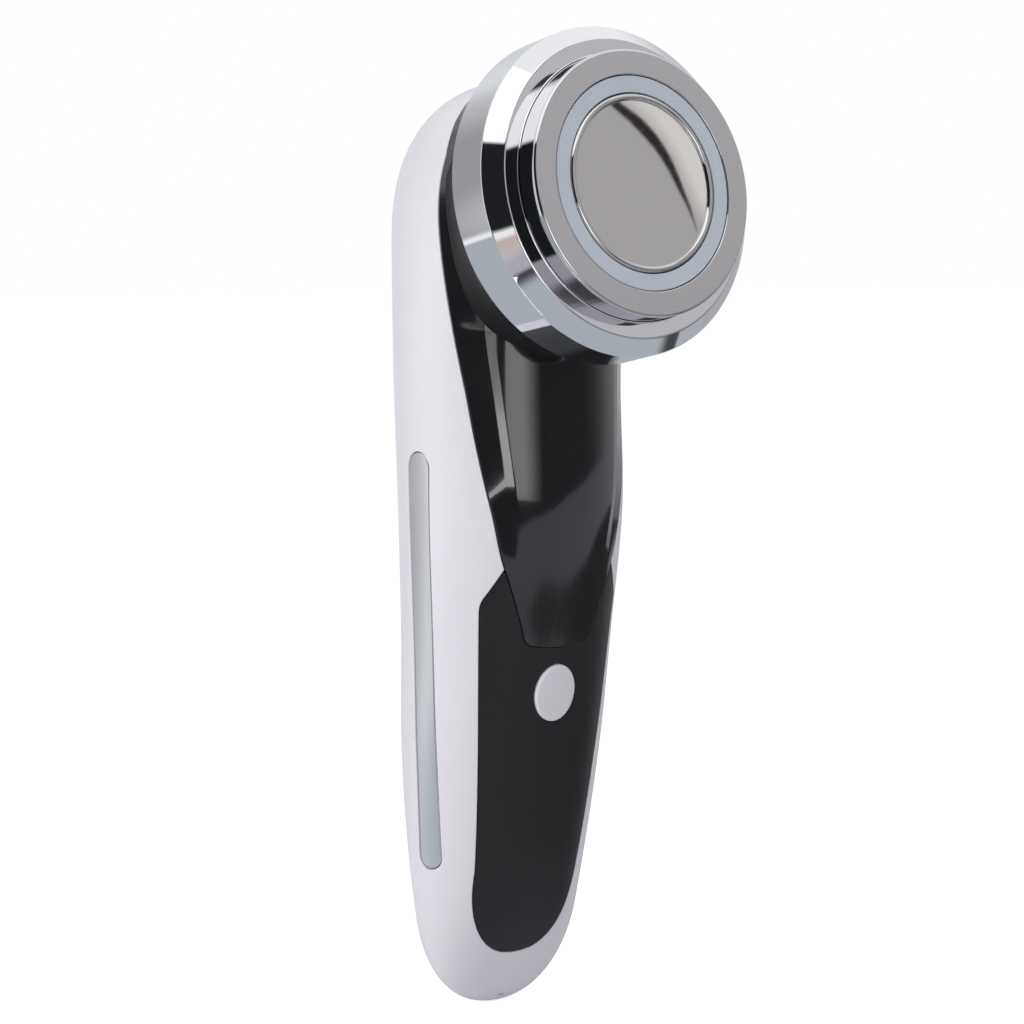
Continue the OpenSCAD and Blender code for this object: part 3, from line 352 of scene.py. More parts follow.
def form_normal(p):
    """Outward normal of the handle's form. Next to the crown's top it comes from the cap's formula, and
    next to the tip it points down."""
    x, y, z = p
    w, m, b = half_w(z), mid_y(z), half_d(z)
    gx = SECTION * abs(x / w) ** (SECTION - 1) / w * (1 if x > 0 else -1)
    gy = SECTION * abs((y - m) / b) ** (SECTION - 1) / b * (1 if y > m else -1)
    h = 0.02

    def f(zz):
        return (abs(x) / half_w(zz)) ** SECTION + (abs(y - mid_y(zz)) / half_d(zz)) ** SECTION

    if h < z < BODY_H - h:
        gz = (f(z + h) - f(z - h)) / (2 * h)
    else:
        u = 1 - (BODY_H - z) / CROWN_CAP
        gz = SECTION * u ** (CAP - 1) / (1 - u ** CAP) / CROWN_CAP if z > TIP_CAP else -1
    return Vector((gx, gy, gz)).normalized()


def girth_of(p):
    """Girth u of a place on the form, from -90 degrees at the front round by +X."""
    x, y, z = p
    s = (y - mid_y(z)) / half_d(z)
    c = x / half_w(z)
    e = SECTION / 2
    a = math.degrees(math.atan2(math.copysign(abs(s) ** e, s), math.copysign(abs(c) ** e, c)))
    if a < -90.0001:
        a += 360
    return a * U_STEP


def spread(loop, step):
    """Points along a polyline at about equal steps, its ends kept."""
    out = [loop[0]]
    for a, b in zip(loop, loop[1:]):
        n = max(1, int(math.ceil(math.dist(a, b) / step)))
        out += [tuple(p + (q - p) * k / n for p, q in zip(a, b)) for k in range(1, n + 1)]
    return out


def inside(poly, x, y):
    """Whether a place lies in a closed outline."""
    hit = False
    j = len(poly) - 1
    for i in range(len(poly)):
        xi, yi = poly[i]
        xj, yj = poly[j]
        if (yi > y) != (yj > y) and x < (xj - xi) * (y - yi) / (yj - yi) + xi:
            hit = not hit
        j = i
    return hit


class Surface:
    """A surface over two parameters, with its normal and the parameters of a place on it."""

    def __init__(self, at, normal=None, params=None):
        self.at = at
        self.params = params or (lambda p: (p[0], p[2]))
        self.normal = normal or self.slope_normal

    def slope_normal(self, u, v):
        h = 0.02
        du = self.at(u + h, v) - self.at(u - h, v)
        dv = self.at(u, v + h) - self.at(u, v - h)
        return du.cross(dv).normalized()


ROLL_STEPS = 4
CLEAR = 0.3  # how near the outline an inner point may lie


def cover(name, surface, loops, points, mat, node, edge, depth, keep=None):
    """A piece cut from a surface. loops are closed lists of (u, v, rolled) with the piece on their left,
    and their rolled edges are rounded over and run down by depth. points are (u, v) places inside. With
    keep, a face stays only where keep is true of a corner."""
    coords, edges, rolls, polys = [], [], [], []
    for loop in loops:
        n = len(loop)
        base = len(coords)
        poly = []
        places = [surface.at(u, v) for u, v, _ in loop]
        rows = []
        for i, (u, v, rolled) in enumerate(loop):
            if rolled:
                a = places[i - 1] if loop[i - 1][2] else places[i]
                b = places[(i + 1) % n] if loop[(i + 1) % n][2] else places[i]
                nrm = surface.normal(u, v)
                m = (b - a).cross(nrm).normalized()
                q = surface.params(places[i] - m * edge)
                if abs(u - FRONT_AGAIN) < 0.01 * U_STEP and q[0] < 0:
                    q = (q[0] + FRONT_AGAIN - FRONT, q[1])
                rows.append((m, nrm))
            else:
                q = (u, v)
                rows.append(None)
            poly.append(q)
            coords.append(Vector((q[0], q[1])))
        polys.append(poly)
        edges += [(base + i, base + (i + 1) % n) for i in range(n)]
        rolls.append((base, n, rows))
    outer = polys[0]
    near = [Vector(q) for poly in polys for q in poly]
    tree = KDTree(len(near))
    for i, q in enumerate(near):
        tree.insert((q[0], q[1], 0), i)
    tree.balance()
    for u, v in points:
        if tree.find((u, v, 0))[2] < CLEAR or not inside(outer, u, v):
            continue
        if any(inside(h, u, v) for h in polys[1:]):
            continue
        coords.append(Vector((u, v)))
    out_v, _, out_f, orig_v, _, _ = delaunay_2d_cdt(coords, edges, [], 1, 1e-6)
    index = {}
    for i, src in enumerate(orig_v):
        for k in src:
            index[k] = i
    verts = [surface.at(p[0], p[1]) for p in out_v]
    norms = [surface.normal(p[0], p[1]) for p in out_v]
    faces = []
    for f in out_f:
        cu = sum(out_v[i][0] for i in f) / len(f)
        cv = sum(out_v[i][1] for i in f) / len(f)
        if not inside(outer, cu, cv) or any(inside(h, cu, cv) for h in polys[1:]):
            continue
        if keep and not any(keep(verts[i]) for i in f):
            continue
        a, b, c = (verts[i] for i in f[:3])
        if (b - a).cross(c - a).dot(norms[f[0]]) < 0:
            f = f[::-1]
        faces.append(tuple(f))
    for base, n, rows in rolls:
        previous = [index[base + i] for i in range(n)]
        for j in range(1, ROLL_STEPS + 2):
            current = list(previous)
            for i, row in enumerate(rows):
                if row is None:
                    continue
                m, nrm = row
                q = verts[index[base + i]]
                nq = norms[index[base + i]]
                if j <= ROLL_STEPS:
                    t = math.pi / 2 * j / ROLL_STEPS
                    verts.append(q + m * (edge * math.sin(t)) - nq * (edge * (1 - math.cos(t))))
                    norms.append((nq * math.cos(t) + m * math.sin(t)).normalized())
                else:
                    verts.append(q + m * edge - nq * depth)
                    norms.append(m.copy())
                current[i] = len(verts) - 1
            for i in range(n):
                k = (i + 1) % n
                if rows[i] is None or rows[k] is None:
                    continue
                if keep and not (keep(verts[previous[i]]) or keep(verts[previous[k]])):
                    continue
                faces.append((previous[i], current[i], current[k], previous[k]))
            previous = current
    build(name, verts, faces, norms, mat, node)


def place(name, data):
    """Object with that data, linked to the scene."""
    o = bpy.data.objects.new(name, data)
    bpy.context.scene.collection.objects.link(o)
    return o


def dress(name, mesh, mat, body, node):
    """Object that shows in a node's place."""
    mesh.materials.append(mat)
    o = place(name, mesh)
    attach(o, body)
    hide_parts(node)


def build(name, verts, faces, norms, mat, node):
    """Mesh object from places in mm, with its own smooth normals."""
    used = sorted({i for f in faces for i in f})
    new = {k: i for i, k in enumerate(used)}
    mesh = bpy.data.meshes.new(name)
    mesh.from_pydata([verts[k] * MM for k in used], [], [[new[i] for i in f] for f in faces])
    mesh.polygons.foreach_set("use_smooth", [True] * len(mesh.polygons))
    mesh.normals_split_custom_set_from_vertices([norms[k] for k in used])
    mesh.validate()
    dress(name, mesh, mat, "handle", node)


def smooth_piece(name, verts, faces, mat, body, node):
    """Mesh object from places in mm, smooth shaded, with its outside outwards."""
    bm = bmesh.new()
    vs = [bm.verts.new(v * MM) for v in verts]
    for f in faces:
        bm.faces.new([vs[i] for i in f])
    bmesh.ops.remove_doubles(bm, verts=bm.verts, dist=1e-7)
    bmesh.ops.recalc_face_normals(bm, faces=bm.faces)
    for f in bm.faces:
        f.smooth = True
    mesh = bpy.data.meshes.new(name)
    bm.to_mesh(mesh)
    bm.free()
    dress(name, mesh, mat, body, node)


def girth_and_height(p):
    return girth_of(p), p[2]


def normal_at(u, z):
    return form_normal(section_point(u, z))


form = Surface(section_point, normal_at, girth_and_height)
FOOT_ROUND = 2.3


def panel_half(z):
    """Half width of the front panel."""
    if z >= FOOT_TOP_Z:
        return curve([FOOT_TOP_Z, 50, BUTTON_Z, SHOULDER_Z], [FOOT_W / 2, 13.9, 14.8, SHOULDER_W / 2], z)
    return FOOT_W / 2 * (1 - ((FOOT_TOP_Z - z) / (FOOT_TOP_Z - FOOT_Z)) ** FOOT_ROUND) ** (1 / FOOT_ROUND)


# right-hand side of the panel's outline, from its foot up to the waist
panel_side = [(0.0, FOOT_Z)]
for k in range(1, 61):
    z = FOOT_Z + (FOOT_TOP_Z - FOOT_Z) * (1 - math.cos(math.pi / 2 * k / 60))
    panel_side.append((panel_half(z), z))
for k in range(1, 101):
    z = FOOT_TOP_Z + (SHOULDER_Z - 1.6 - FOOT_TOP_Z) * k / 100
    panel_side.append((panel_half(z), z))


def bezier(a, b, c, n):
    """Points of a curve from a towards b and on to c, without a itself."""
    return [tuple((1 - t) ** 2 * p + 2 * t * (1 - t) * q + t * t * r for p, q, r in zip(a, b, c))
            for t in (k / n for k in range(1, n + 1))]


turn_hi = (SHOULDER_W / 2 - 0.9, SHOULDER_Z + 1.4)
panel_side += bezier(panel_side[-1], (SHOULDER_W / 2 - 0.02, SHOULDER_Z - 0.1), turn_hi, 12)
panel_side += spread([turn_hi, (WAIST_W / 2, WAIST_Z)], 0.5)[1:]

# split line, from the waist up to the crown, which the shell closes above the neck cover
TOP_SEAM = 175.4
split = [WAIST_Z + (TOP_SEAM - WAIST_Z) * k / 180 for k in range(1, 181)]


def back_of_collar(z):
    """Where the collar's rear plane lies at height z, with a small gap."""
    lift = (z - FACE_Z + (COLLAR_REAR + 0.1) * math.sin(HEAD_TILT)) / math.cos(HEAD_TILT)
    return -FACE_REACH + (COLLAR_REAR + 0.12) * math.cos(HEAD_TILT) + lift * math.sin(HEAD_TILT)


def housing_edge_y(z):
    """How far back the shell's front edge lies: at the split, or behind the collar."""
    y = split_at(z)
    if z > FACE_Z - 0.2:
        y = max(y, back_of_collar(z))
    return y


def rolled(points, flag=True):
    return [(u, v, flag) for u, v in points]


LOW, HIGH = 0.03, BODY_H - 0.001  # the sheet's ends, just short of the tip and the crown
right_edge = [(girth_of((x, front_y(x, z), z)), z) for x, z in panel_side]
right_edge[0] = (FRONT, FOOT_Z)
for z in split:
    y = housing_edge_y(z)
    right_edge.append((girth_of((side_x(y, z), y, z)), z))
left_edge = [(180 * U_STEP - u, z) for u, z in reversed(right_edge)]
foot_line = spread([(FRONT_AGAIN, FOOT_Z), (FRONT_AGAIN, LOW)], 1.0)[1:-1]
tip_line = spread([(FRONT_AGAIN, LOW), (FRONT, LOW)], 2.0)
seam_line = spread([(FRONT, LOW), (FRONT, FOOT_Z)], 1.0)[1:-1]
crown_right = spread([right_edge[-1], (FRONT, TOP_SEAM)], 1.0)[1:]
crown_left = spread([(FRONT_AGAIN, TOP_SEAM), left_edge[0]], 1.0)[:-1]
crown_line = [(FRONT, TOP_SEAM + (HIGH - TOP_SEAM) * k / 6) for k in range(1, 6)]
crown_line += spread([(FRONT, HIGH), (FRONT_AGAIN, HIGH)], 2.0)
crown_line += [(FRONT_AGAIN, HIGH - (HIGH - TOP_SEAM) * k / 6) for k in range(1, 6)]
housing_loop = rolled(right_edge) + rolled(crown_right) + rolled(crown_line, False) + rolled(crown_left)
housing_loop += rolled(left_edge) + rolled(foot_line + tip_line + seam_line, False)
housing_loop.reverse()

# pills for the side strips
STRIP_LO, STRIP_HI = 28.5, 107.3
STRIP_LINE = [STRIP_LO + 1.5, STRIP_LO + 21.5, STRIP_LO + 46.5, STRIP_HI]


def strip_mid(z):
    """Middle of the side strips, front to back."""
    return curve(STRIP_LINE, [12.3, 11, 10.8, 11], z)


def strip_hw(z):
    """Half width of the side strips."""
    return curve(STRIP_LINE, [2.5, 2.5, 2.8, 3.3], z)


def pill(grow):
    """Outline of a side strip in y and z, grown by a gap."""
    lo, hi = STRIP_LO + 2.5, STRIP_HI - 3.3
    zs = [lo + (hi - lo) * k / 90 for k in range(91)]
    pts = [(strip_mid(z) + strip_hw(z) + grow, z) for z in zs]
    pts += [(strip_mid(hi) + (strip_hw(hi) + grow) * math.cos(math.radians(a)),
             hi + (strip_hw(hi) + grow) * math.sin(math.radians(a))) for a in range(8, 180, 8)]
    pts += [(strip_mid(z) - strip_hw(z) - grow, z) for z in reversed(zs)]
    pts += [(strip_mid(lo) + (strip_hw(lo) + grow) * math.cos(math.radians(a)),
             lo + (strip_hw(lo) + grow) * math.sin(math.radians(a))) for a in range(188, 360, 8)]
    return pts


def pill_loop(side, grow, hole):
    """The same on the form's girth, on the right (side 1) or left (side -1)."""
    pts = [(girth_of((side * side_x(y, z), y, z)), z) for y, z in pill(grow)]
    if (side < 0) != hole:
        pts = pts[::-1]
    return rolled(pts)


# rows of the shell's sheet, closer together towards both ends
TIP_ROWS_TO, ROW_STEP, CROWN_ROWS_FROM, COLUMNS = 20, 1.3, 146, 104
rows = [LOW + (TIP_ROWS_TO - LOW) * (1 - math.cos(math.pi / 2 * k / 24)) for k in range(25)]
rows += [TIP_ROWS_TO + ROW_STEP * k for k in range(1, 97)]
rows += [CROWN_ROWS_FROM + (HIGH - CROWN_ROWS_FROM) * math.sin(math.pi / 2 * k / 32) for k in range(0, 33)]
grid = [(FRONT + 360 * U_STEP * k / COLUMNS, z) for z in rows for k in range(COLUMNS + 1)]
STRIP_GAP, STRIP_SUNK = 0.15, 0.2
cover("rear_shell", form, [housing_loop, pill_loop(1, STRIP_GAP, True), pill_loop(-1, STRIP_GAP, True)],
      grid, SHELL, "rear_housing", edge=0.22, depth=1.9)

sunk = Surface(lambda u, v: section_point(u, v, STRIP_SUNK), normal_at, girth_and_height)
for side, node in ((1, "side_strip_right"), (-1, "side_strip_left")):
    pts = []
    for z in [STRIP_LO + 1.2 * k for k in range(66)]:
        for y in [strip_mid(z) + d for d in range(-3, 4)]:
            pts.append((girth_of((side * side_x(y, z), y, z)), z))
    cover(node + "_plate", sunk, [pill_loop(side, 0.0, False)], pts, STRIP, node,
          edge=0.3, depth=0.85)

# grip panel, with the tongue's outline and the button's hole
PANEL_TILT = math.atan((front_y(0, BUTTON_Z - 8) - front_y(0, BUTTON_Z + 8)) / 16)
TONGUE_CORNER, TONGUE_BOW = 2.6, 0.5
TONGUE_FOOT = WAIST_Z - TONGUE_L


def tongue_side(grow):
    """Right-hand half of the tongue's outline, from its foot's middle up to the waist."""
    cx, cz = TONGUE_W / 2 - TONGUE_CORNER, TONGUE_FOOT + TONGUE_BOW + TONGUE_CORNER
    foot, r = TONGUE_FOOT - grow, TONGUE_CORNER + grow
    pts = [(0.0, foot)] + bezier((0.0, foot), (cx * 0.55, foot), (cx, TONGUE_FOOT + TONGUE_BOW - grow), 10)
    pts += [(cx + r * math.cos(math.radians(a)), cz + r * math.sin(math.radians(a)))
            for a in range(-80, 1, 10)]
    top = (WAIST_W / 2 - 0.2 + grow, WAIST_Z)
    pts += spread([pts[-1], top], 0.4)[1:]
    return pts


flat = Surface(lambda x, z: Vector((x, front_y(x, z), z)),
               lambda x, z: form_normal((x, front_y(x, z), z)))
panel_right = [(x - SEAM if x > 1 else x, z + (SEAM if z < 20 and x < 3 else 0)) for x, z in panel_side[:-1]]
tongue_right = [p for p in tongue_side(SEAM) if p[1] < WAIST_Z - 0.6]
panel_loop = panel_right + tongue_right[::-1]
panel_loop += [(-x, z) for x, z in tongue_right[1:]] + [(-x, z) for x, z in panel_right[:0:-1]]
BUTTON_GAP = 0.15
hole = []
for k in range(72):
    a = -2 * math.pi * k / 72
    hole.append(((BUTTON_W / 2 + BUTTON_GAP) * math.cos(a),
                 BUTTON_Z + (BUTTON_H / 2 + BUTTON_GAP) * math.sin(a) * math.cos(PANEL_TILT)))
grid = [(17 * (k / 14), z) for z in [FOOT_Z + 1.2 * j for j in range(64)] for k in range(-14, 15)]
cover("front_panel", flat, [rolled(panel_loop), rolled(hole)], grid, PANEL, "grip_panel",
      edge=0.18, depth=1.9)

# neck cover: front face, facet and flank
def neck_edge_x(z):
    """Half width of the neck cover."""
    return side_x(housing_edge_y(z) - SEAM, z) if z > WAIST_Z else WAIST_W / 2


def crease_x(z):
    """Where the neck's front face ends."""
    return curve([WAIST_Z, WAIST_Z + 38], [10, 13.6], z)


FACET_W, FACET_SLOPE = 1.5, 0.687
FACET_RISE, FACET_FADE_Z, FACET_FADE = 9, 152, 12
PROFILE_Z, PROFILE_END, PROFILE_SHARE, PROFILE_FADE = 109.0, 130.0, 0.8, 16


def facet_marks(z):
    """Where the crease and the facet's outer edge lie at height z, and the seam."""
    edge = neck_edge_x(z)
    c = min(crease_x(z), edge * 0.72)
    return c, min(c + FACET_W, edge * 0.86), edge


def set_back(z):
    """How far the neck's front stands behind the handle's form under the head, where it runs straighter."""
    top = min(z, PROFILE_END)
    if top <= PROFILE_Z:
        return 0.0
    rise = (front_y(0, PROFILE_Z) - front_y(0, PROFILE_Z - 2)) / 2
    straight = front_y(0, PROFILE_Z) + rise * (top - PROFILE_Z)
    back = PROFILE_SHARE * (straight - front_y(0, top))
    return back * (1 - soft_step((z - PROFILE_END - PROFILE_FADE) / PROFILE_FADE))


def neck_y(x, z):
    """Front of the neck cover: crowned face, flat facet, straight flank."""
    base = front_y(x, z)
    share = soft_step((z - WAIST_Z) / FACET_RISE) * (1 - soft_step((z - FACET_FADE_Z) / FACET_FADE))
    x = abs(x)
    if share <= 0:
        return base
    c, k, edge = facet_marks(z)
    back = set_back(z)
    if x <= c:
        return base + back * share
    y_k = front_y(c, z) + back + FACET_SLOPE * (k - c)
    if x <= k:
        y = y_k - FACET_SLOPE * (k - x)
    else:
        t = min(1.0, (x - k) / max(0.1, edge - k))
        y = y_k + (front_y(edge, z) - y_k) * t
    return base + (y - base) * share


def neck_at(x, z):
    """The same with its creases rounded."""
    r = 0.10
    y = sum(w * neck_y(x + r * t, z) for t, w in ((-1, 0.15), (-0.5, 0.2), (0, 0.3), (0.5, 0.2), (1, 0.15)))
    return Vector((x, y, z))


neck = Surface(neck_at)
neck_right = [p for p in tongue_side(0) if p[1] < WAIST_Z - 0.2]
neck_rows = [WAIST_Z + 0.5 * k for k in range(120)]
last_row = neck_rows[-1]
neck_rows += [last_row + (TOP_SEAM - last_row) * math.sin(math.pi / 2 * k / 60) for k in range(1, 61)]
neck_right += [(neck_edge_x(z), z) for z in neck_rows]
neck_loop = rolled(neck_right)
neck_loop += rolled(spread([neck_right[-1], (-neck_right[-1][0], TOP_SEAM)], 1.0)[1:-1], False)
neck_loop += rolled([(-x, z) for x, z in neck_right[:0:-1]])
grid = []
for z in [TONGUE_FOOT + 0.5 + 0.85 * j for j in range(20)] + neck_rows[3::2]:
    c, k, edge = facet_marks(z)
    xs = [c * t / 10 for t in range(10)]
    xs += [c - 0.14, c - 0.05, c + 0.05, c + 0.14, (c + k) / 2, k - 0.14, k - 0.05, k + 0.05, k + 0.14]
    xs += [k + (edge - k) * (1 - (1 - t / 9) ** 1.6) for t in range(1, 9)]
    grid += [(x, z) for x in xs] + [(-x, z) for x in xs if x > 0.01]


def outside_collar(p):
    """Whether a place shows past the collar, or lies only a little inside it."""
    return collar_share(p) > 0.85


cover("neck_skin", neck, [neck_loop], grid, NECK, "neck_cover", edge=0.18, depth=1.9,
      keep=outside_collar)

# collar: black bowl from the flange back to the housing, deeper below than above
def collar_skin():
    rows = [(COLLAR_D[0] + 0.6, 1.8)] + [(COLLAR_D[0] + 0.6 * k, 0.0) for k in range(33)]
    rows += [(COLLAR_REAR - COLLAR_ROUND + COLLAR_ROUND * math.sin(math.radians(a)),
              COLLAR_ROUND * (1 - math.cos(math.radians(a)))) for a in range(0, 91, 15)]
    rows += [(COLLAR_REAR, COLLAR_ROUND + 4), (COLLAR_REAR, COLLAR_ROUND + 10)]
    n = 144
    verts = []
    for depth, trim in rows:
        a, t, b, q = collar_size(depth)
        for i in range(n):
            c, s = math.cos(2 * math.pi * i / n), math.sin(2 * math.pi * i / n)
            x = (a - trim) * math.copysign(abs(c) ** (2 / q), c)
            lift = ((t if s > 0 else b) - trim) * math.copysign(abs(s) ** (2 / q), s)
            verts.append(FACE - HEAD_OUT * depth + Vector((x, 0, 0)) + HEAD_UP * lift)
    faces = [(j * n + i, j * n + (i + 1) % n, (j + 1) * n + (i + 1) % n, (j + 1) * n + i)
             for j in range(len(rows) - 1) for i in range(n)]
    smooth_piece("collar_skin", verts, faces, COLLAR, "handle", "head_collar")


collar_skin()

# head: turned pieces round its axis
FACE_R, ANNULUS_R, FLANGE_R, FLANGE_WALL = 24.1, 27.4, 30.0, 1.6
STEP, BEVEL, FLANGE_REAR = 4.7, 2.6, 16.4
LIGHT_IN, LIGHT_OUT, ELECTRODE_R = 16.3, 19.3, 16.15
BOWL_R, BOWL_DEPTH, RIM = 94.4, 1.75, 0.65


def arc(r, z, radius, a0, a1, steps=10, hollow=False):
    """Rounded stretch of a profile: places with their normal's angle, 0 outwards and 90 out of the face."""
    out = []
    for i in range(steps + 1):
        a = a0 + (a1 - a0) * i / steps
        c, s = math.cos(math.radians(a)), math.sin(math.radians(a))
        out.append((r + radius * c, z + radius * s, a + 180 if hollow else a))
    return out


def lathe(name, profile, mat, node, n=288):
    """Piece turned from a profile of (radius, height over the face, normal's angle). A place given twice
    is a crease."""
    verts, norms, faces, starts = [], [], [], []
    for r, z, a in profile:
        starts.append(len(verts))
        c, s = math.cos(math.radians(a)), math.sin(math.radians(a))
        for i in range(n if r > 0 else 1):
            t = 2 * math.pi * i / n
            radial = Vector((math.cos(t), 0, 0)) + HEAD_UP * math.sin(t)
            verts.append(FACE + radial * r + HEAD_OUT * z)
            norms.append(radial * c + HEAD_OUT * s if r > 0 else HEAD_OUT)
    for j in range(len(profile) - 1):
        if profile[j][:2] == profile[j + 1][:2]:
            continue
        for i in range(n):
            k = (i + 1) % n
            a, b = starts[j], starts[j + 1]
            f = (a, b + i, b + k) if profile[j][0] == 0 else (a + i, b + i, b + k, a + k)
            p, q, r = (verts[v] for v in f[:3])
            faces.append(f if (q - p).cross(r - p).dot(norms[f[1]]) > 0 else f[::-1])
    build(name, verts, faces, norms, mat, node)


bore, root, edge_r = FACE_R + 0.1, 0.22, 0.5
lathe("bezel_turned", [(bore, -STEP - 2, 180), (bore, -STEP + root, 180)]
      + arc(bore + root, -STEP + root, root, 180, 270, 6, True)
      + arc(ANNULUS_R - edge_r, -STEP - edge_r, edge_r, 90, 45)
      + arc(FLANGE_R - edge_r, -STEP - BEVEL - edge_r, edge_r, 45, 0)
      + arc(FLANGE_R - 0.2, -FLANGE_REAR + 0.2, 0.2, 0, -90, 6)
      + [(FLANGE_R - FLANGE_WALL, -FLANGE_REAR, -90), (FLANGE_R - FLANGE_WALL, -FLANGE_REAR, 180),
         (FLANGE_R - FLANGE_WALL, -STEP - BEVEL - 1.6, 180)],
      CHROME, "head_bezel")
lathe("face_ring_turned", [(LIGHT_OUT + 0.15, -1.4, 180)] + arc(LIGHT_OUT + 0.35, -0.2, 0.2, 180, 90, 6)
      + arc(FACE_R - 0.55, -0.55, 0.55, 90, 0) + [(FACE_R, -STEP - 3, 0)],
      RING, "face_ring")
lathe("light_ring_turned", [(LIGHT_IN, -3.2, 180)] + arc(LIGHT_IN + 0.2, -0.3, 0.2, 180, 90, 6)
      + arc(LIGHT_OUT - 0.2, -0.3, 0.2, 90, 0, 6) + [(LIGHT_OUT, -3.2, 0)],
      LIGHT, "light_ring")


def bowl(r):
    """Height and normal's angle of the electrode's shallow dish."""
    return -BOWL_DEPTH + BOWL_R - math.sqrt(BOWL_R ** 2 - r * r), 90 + math.degrees(math.asin(r / BOWL_R))


dish = [(r, *bowl(r)) for r in [0.5 * k for k in range(30)] + [ELECTRODE_R - 2 * RIM]]
lathe("electrode_turned", dish + arc(ELECTRODE_R - RIM, -RIM, RIM, 176, 0, 18) + [(ELECTRODE_R, -4.2, 0)],
      ELECTRODE, "electrode_disc")

# button: domed oval cap
def place_in_panel(x, y, z):
    """Place of the cap's own x, y, z, with y out of the panel's plane and into the handle."""
    c, s = math.cos(PANEL_TILT), math.sin(PANEL_TILT)
    return Vector((x, front_y(0, BUTTON_Z) + y * c - z * s, BUTTON_Z + y * s + z * c))


def button_skin():
    """Domed oval cap with a rounded rim, from rings of (share of the half size, depth)."""
    verts, faces = [], []
    n, rim, crown = 96, 0.42, 0.10
    hx, hz = BUTTON_W / 2, BUTTON_H / 2
    profile = [(0.0, -crown)]
    for k in range(1, 13):
        t = k / 12
        profile.append((t * (1 - rim / hx), -crown * (1 - t * t)))
    last = profile[-1][0]
    for k in range(1, 9):
        a = math.pi / 2 * k / 8
        profile.append((last + (1 - last) * math.sin(a), rim * (1 - math.cos(a))))
    profile += [(1.0, 1.2), (1.0, 2.4)]
    for f, y in profile:
        grow = max(0.0, (f - last) / (1 - last)) * rim
        share = min(1.0, f / last)
        for i in range(n):
            a = 2 * math.pi * i / n
            x = ((hx - rim) * share + grow) * math.cos(a)
            z = ((hz - rim) * share + grow) * math.sin(a)
            bend = 0.125 * (x / hx) ** 2
            verts.append(place_in_panel(x, y - BUTTON_PROUD + bend, z))
    for j in range(len(profile) - 1):
        for i in range(n):
            k = (i + 1) % n
            faces.append((j * n + i, (j + 1) * n + i, (j + 1) * n + k, j * n + k))
    smooth_piece("button_cap", verts, faces, BUTTON, "button", "button")


button_skin()

# ------------------------------------------------------------------ camera

AZ, EL = math.radians(36.8), math.radians(5.0)
right = Vector((math.cos(AZ), -math.sin(AZ), 0))
ahead = Vector((math.sin(AZ) * math.cos(EL), math.cos(AZ) * math.cos(EL), -math.sin(EL)))
up = right.cross(ahead)
FACE_RIGHT, FACE_UP, FACE_AHEAD = 23.36, 58.16, 504.2  # the head's face from the camera, in mm
eye = (FACE - FACE_RIGHT * right - FACE_UP * up - FACE_AHEAD * ahead) * MM
cam_data = bpy.data.cameras.new("camera")
cam = place("camera", cam_data)
cam_data.sensor_width = 36
cam_data.lens = 100.4
cam_data.clip_start = 0.01
cam.matrix_world = Matrix((
    (right.x, up.x, -ahead.x, eye.x), (right.y, up.y, -ahead.y, eye.y),
    (right.z, up.z, -ahead.z, eye.z), (0, 0, 0, 1)))
bpy.context.scene.camera = cam

# ------------------------------------------------------------------ stage and light

def seen_rays(nt):
    """1 for camera, glossy and transmission rays, else 0."""
    path = add(nt, "ShaderNodeLightPath")
    a = add(nt, "ShaderNodeMath", operation="MAXIMUM")
    b = add(nt, "ShaderNodeMath", operation="MAXIMUM")
    nt.links.new(path.outputs["Is Camera Ray"], a.inputs[0])
    nt.links.new(path.outputs["Is Glossy Ray"], a.inputs[1])
    nt.links.new(a.outputs[0], b.inputs[0])
    nt.links.new(path.outputs["Is Transmission Ray"], b.inputs[1])
    return b.outputs[0]


# world: pale light on the object, plain white where it is seen
world = bpy.data.worlds.new("world")
bpy.context.scene.world = world
world.use_nodes = True
nt = world.node_tree
bg = nt.nodes["Background"]
bg.inputs["Color"].default_value = (0.95, 0.96, 1.0, 1)
bg.inputs["Strength"].default_value = 0.38
white = add(nt, "ShaderNodeBackground")
white.inputs["Color"].default_value = (1, 1, 1, 1)
white.inputs["Strength"].default_value = 1.0
either = add(nt, "ShaderNodeMixShader")
nt.links.new(seen_rays(nt), either.inputs["Fac"])
nt.links.new(bg.outputs[0], either.inputs[1])
nt.links.new(white.outputs[0], either.inputs[2])
nt.links.new(either.outputs[0], nt.nodes["World Output"].inputs["Surface"])


center = FACE * MM - Vector((0, 0, 0.06))


def lamp(name, r, u, f, power):
    """Soft square lamp that lights the object and isn't mirrored, at a place given in metres from the
    middle by the camera's own directions."""
    data = bpy.data.lights.new(name, "AREA")
    data.energy = power
    data.size = LAMP_SIZE
    o = place(name, data)
    o.location = center + right * r + up * u + ahead * f
    o.rotation_euler = (center - o.location).to_track_quat("-Z", "Y").to_euler()
    o.visible_glossy = False


LAMP_SIZE = 0.5
lamp("key", -0.60, 0.02, -0.50, 3.9)
lamp("fill", 0.60, -0.10, -0.30, 1.3)
lamp("top", 0.0, 0.7, 0.0, 0.85)


def toward(az, el):
    """Direction from the object: az from the camera round to the right, el upwards, in degrees."""
    a, e = math.radians(az), math.radians(el)
    return right * (math.sin(a) * math.cos(e)) + up * math.sin(e) - ahead * (math.cos(a) * math.cos(e))


